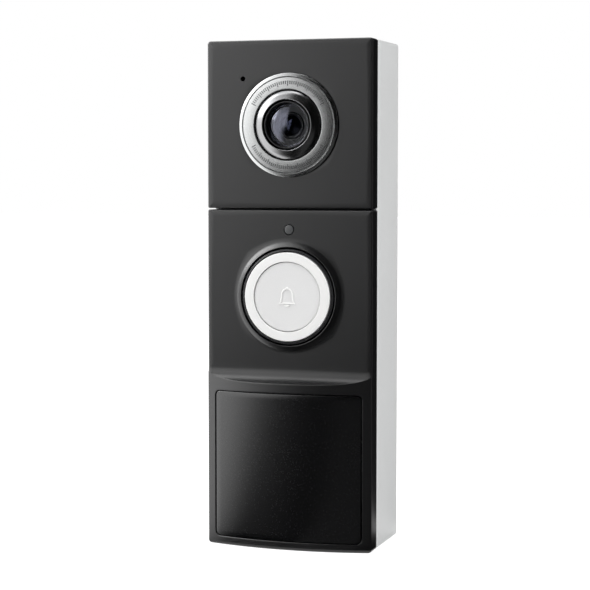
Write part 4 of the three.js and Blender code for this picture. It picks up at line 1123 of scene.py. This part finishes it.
knob = rounded([(0, ICON_BACK), (KNOB, ICON_BACK), (KNOB, ICON_FRONT, 0.1), (0, ICON_FRONT)])
outline_band = band(mirrored(bell_line(0.0)), mirrored(bell_line(STROKE)))
bell = gather(outline_band, turned(knob, BELL_TOP + 0.06, 32), clapper())
piece("bell_mark", bell, "button", ICON, "bell_icon", crease=40)

# %% [markdown]
# The status light is the end of a smoked light pipe, set in its hole with a soft edge.

# %% Build the status light
pipe_back, pipe_front = status_low[2], status_high[2] - 0.02
pipe = [(0, pipe_back), (STATUS_RADIUS, pipe_back), (STATUS_RADIUS, pipe_front, 0.2), (0, pipe_front)]
pipe_surface = turned(rounded(pipe), STATUS[1], 64)
piece("status_lens", pipe_surface, "unit", SMOKE, "status_light_pipe", crease=50)

# %% [markdown]
# The rest of the frame stays as it is and only gets its finish. A table says which finish each node takes;
# the names follow the record's own material slots.

# %% Finish the frame's own pieces
BY_NODE = {
    PLATE: ["wall_plate"],
    FRAME: ["inner_frame"],
    RUBBER: ["port_cover", "reset_button", "housing_seal", "microphone_gasket", "speaker_mesh"],
    SILICONE: ["button_return_pad", "motion_lens"],
    BOARD: ["camera_board", "button_board", "motion_board", "main_board", "port_board"],
    LATCH: ["release_latch", "switch_plunger", "button_switch", "lens_holder", "reset_switch",
            "speaker_frame", "speaker_cone", "terminal_block", "image_sensor", "battery_connector"],
    BRASS: ["terminal_screw_1", "terminal_screw_2"],
    COPPER: ["wifi_antenna"],
    WRAP: ["battery_pack"],
    LED: ["status_led", "ring_led_1", "ring_led_2", "ring_led_3", "ring_led_4"],
    INNER_GLASS: ["lens_rear_element"],
}
finish_of = {node: material for material, nodes in BY_NODE.items() for node in nodes}
for name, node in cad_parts.items():
    node.data.materials.clear()
    node.data.materials.append(finish_of.get(name, STEEL))
print("plain steel:", sorted(n for n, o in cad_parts.items() if not (n in finish_of or o.hide_render)))

# %% [markdown]
# The flat spring over the release latch is squeezed as the latch slides up: its top end stays on the
# housing, and a point at height z moves up by travel x (top - z) / length. Here the spring is not shortened:
# the frame's spring is copied with its points merged, put on the unit and given a mesh of its own.

# %% Copy the latch spring onto the unit
spring = solid_copy("latch_spring")
spring.name = "release_spring"
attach(spring, "unit")
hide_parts("latch_spring")
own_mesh(spring)

# %% [markdown]
# The studio is a white floor and a white surround with three soft boxes, which light the object from the
# left, the right and above. They only light: what the gloss shows comes from a tent, made further down.

# %% Floor and surround
FLOOR_Z = CAD_BOX[0][2] - 0.0002
FLOOR_HALF = 4
FLOOR_LIFT = 0.8
AMBIENT = 0.32


def seen(r):
    """1 for rays that show a thing, from the camera, off gloss or through glass, and 0 for the others."""
    rays = r.nodes.new("ShaderNodeLightPath").outputs
    camera, gloss, through = rays["Is Camera Ray"], rays["Is Glossy Ray"], rays["Is Transmission Ray"]
    return (Value(r, camera) + Value(r, gloss) + Value(r, through)).clamp()


def floor_finish():
    """White paper that takes the object's shadow; where seen, it is lifted to the white of the surround."""
    r = Recipe("floor_white")
    r.feed(r.shader, {"Base Color": (0.82, 0.82, 0.82, 1), "Roughness": 0.9, "Specular IOR Level": 0.0})
    r.feed(r.shader, {"Emission Color": (1, 1, 1, 1), "Emission Strength": seen(r) * FLOOR_LIFT})
    return r.material


floor = bpy.data.meshes.new("floor")
corners = [(x * FLOOR_HALF, y * FLOOR_HALF, FLOOR_Z) for x, y in ((-1, -1), (1, -1), (1, 1), (-1, 1))]
floor.from_pydata(corners, [], [(0, 1, 2, 3)])
floor.materials.append(floor_finish())
new_object("floor", floor)

# The surround is pure white where it is seen, and lights everything else with a third of that.
world = bpy.data.worlds.new("studio")
bpy.context.scene.world = world
surround = Recipe("studio", world, "Background")
surround.feed(surround.shader, {"Color": (1, 1, 1, 1), "Strength": seen(surround) * (1 - AMBIENT) + AMBIENT})

# %% Soft boxes


def soft_box(name, place, target, size, power):
    """A rectangular lamp that faces its target; it lights, but is not seen."""
    lamp = bpy.data.lights.new(name, "AREA")
    lamp.shape, lamp.size, lamp.size_y, lamp.energy = "RECTANGLE", size[0], size[1], power
    made = new_object(name, lamp)
    away = np.array(target, float) - np.array(place, float)
    flat = math.hypot(away[0], away[1])
    made.location = place
    made.rotation_euler = (math.atan2(flat, -away[2]), 0, math.atan2(away[1], away[0]) - math.pi / 2)
    made.visible_camera = made.visible_glossy = made.visible_transmission = False


soft_box("main_box", (-0.62, -0.55, 0.42), (0, 0, 0.0), (0.55, 0.7), 5.2)
soft_box("side_box", (0.75, -0.12, 0.18), (0.02, -0.01, 0.0), (0.5, 0.8), 4.6)
soft_box("top_box", (0.05, -0.25, 0.8), (0, -0.01, 0.0), (0.6, 0.4), 2.2)

# %% [markdown]
# A black glossy object shows its surroundings, so these are drawn with care: a tent, half a ball over a
# round floor, that only mirror and gloss rays see. Directions are told in degrees: azimuth from straight
# ahead, to the left negative, and elevation above the object's middle. A large sheet on the left fades out
# along a slanted soft edge, a bright box stands high on the left, another high behind, and the right is
# black.

# %% Tent of reflections
TENT_RADIUS = 1.2
TENT_LIFT = 0.001
DARK = 0.006


def smooth(value, low, high):
    """0 up to low, 1 from high, and 3t^2 - 2t^3 between."""
    t = np.clip((value - low) / (high - low), 0, 1)
    return t * t * (3 - 2 * t)


def between(value, low, high, soft):
    """1 between low and high, fading to 0 over soft on both sides."""
    return smooth(value, low - soft, low) * (1 - smooth(value, high, high + soft))


def glow(azimuth, elevation):
    """The tent's brightness in a direction, as a sum of lit fields."""
    left = -azimuth
    sheet = 3.4 * between(left, 20, 112, 5) * smooth(left + 1.7 * elevation, 8, 35)
    sheet = sheet * (1 - 0.7 * smooth(elevation, 30, 50))
    key = 9.0 * between(left, 62, 102, 10) * between(elevation, 20, 48, 8)
    top = 3.0 * between(left, 40, 110, 12) * between(elevation, 52, 76, 6)
    zenith = 8.0 * smooth(elevation, 78, 81)
    behind = 3.0 * smooth(np.abs(azimuth), 140, 150) * between(elevation, 42, 72, 6)
    right = 0.9 * between(azimuth, 86, 110, 8)
    low_right = 0.14 * between(azimuth, 6, 30, 6) * (1 - smooth(elevation, -7, -3))
    return np.maximum(sheet + key + top + zenith + behind + right + low_right, DARK)


def tent():
    """A ball's upper half and its floor, as a polar grid: rows of the floor by distance, then of the ball."""
    turn = np.radians(np.linspace(-180, 180, 145))
    reach = np.concatenate([np.linspace(0, 0.3, 12), np.linspace(0.36, TENT_RADIUS, 10)])
    rise = np.radians(np.linspace(0, 90, 37))[1:]
    flat = np.concatenate([reach, TENT_RADIUS * np.cos(rise)])[:, None]
    height = np.concatenate([0 * reach, TENT_RADIUS * np.sin(rise)])[:, None]
    above = FLOOR_Z + TENT_LIFT + height + 0 * turn
    points, faces = grid(np.stack([flat * np.sin(turn), -flat * np.cos(turn), above], -1))
    seen_low = np.interp(reach, [0.0, 0.05, 0.3, 0.6, TENT_RADIUS], [-14, -12.5, -9, -6, -3.6])
    seen_high = np.degrees(np.arctan2(height[len(reach):, 0] + FLOOR_Z, flat[len(reach):, 0]))
    brightness = glow(np.degrees(turn)[None], np.concatenate([seen_low, seen_high])[:, None])
    mesh = bpy.data.meshes.new("tent")
    mesh.from_pydata(points.tolist(), [], faces.tolist())
    values = brightness.ravel().astype(np.float32)
    mesh.attributes.new("glow", "FLOAT", "POINT").data.foreach_set("value", values)
    r = Recipe("tent_cloth")
    level = r.add("ShaderNodeAttribute", {"attribute_name": "glow"}, {}, "Fac")
    r.feed(r.shader, {"Base Color": (0, 0, 0, 1), "Roughness": 1.0, "Specular IOR Level": 0.0,
                      "Emission Color": level, "Emission Strength": 1.0})
    r.material.cycles.emission_sampling = "NONE"
    mesh.materials.append(r.material)
    made = new_object("tent", mesh)
    made.visible_camera = made.visible_diffuse = made.visible_shadow = False
    print("tent", brightness.shape, "brightest", brightness.max())


tent()

# %% [markdown]
# The camera stands half a metre in front, a little to the right and above the middle, with a long lens.

# %% Camera
CAMERA_PLACE = (0.16553, -0.51735, 0.0355)
CAMERA_PITCH = 0.0682
CAMERA_YAW = 0.3232
LENS_MM, SENSOR_MM = 107.1, 36.0
camera = bpy.data.cameras.new("camera")
camera.lens, camera.sensor_width = LENS_MM, SENSOR_MM
camera.clip_start = 0.02
viewer = new_object("camera", camera)
viewer.location = CAMERA_PLACE
viewer.rotation_euler = (math.pi / 2 - CAMERA_PITCH, 0, CAMERA_YAW)
bpy.context.scene.camera = viewer
bpy.context.scene.view_settings.view_transform = "Standard"
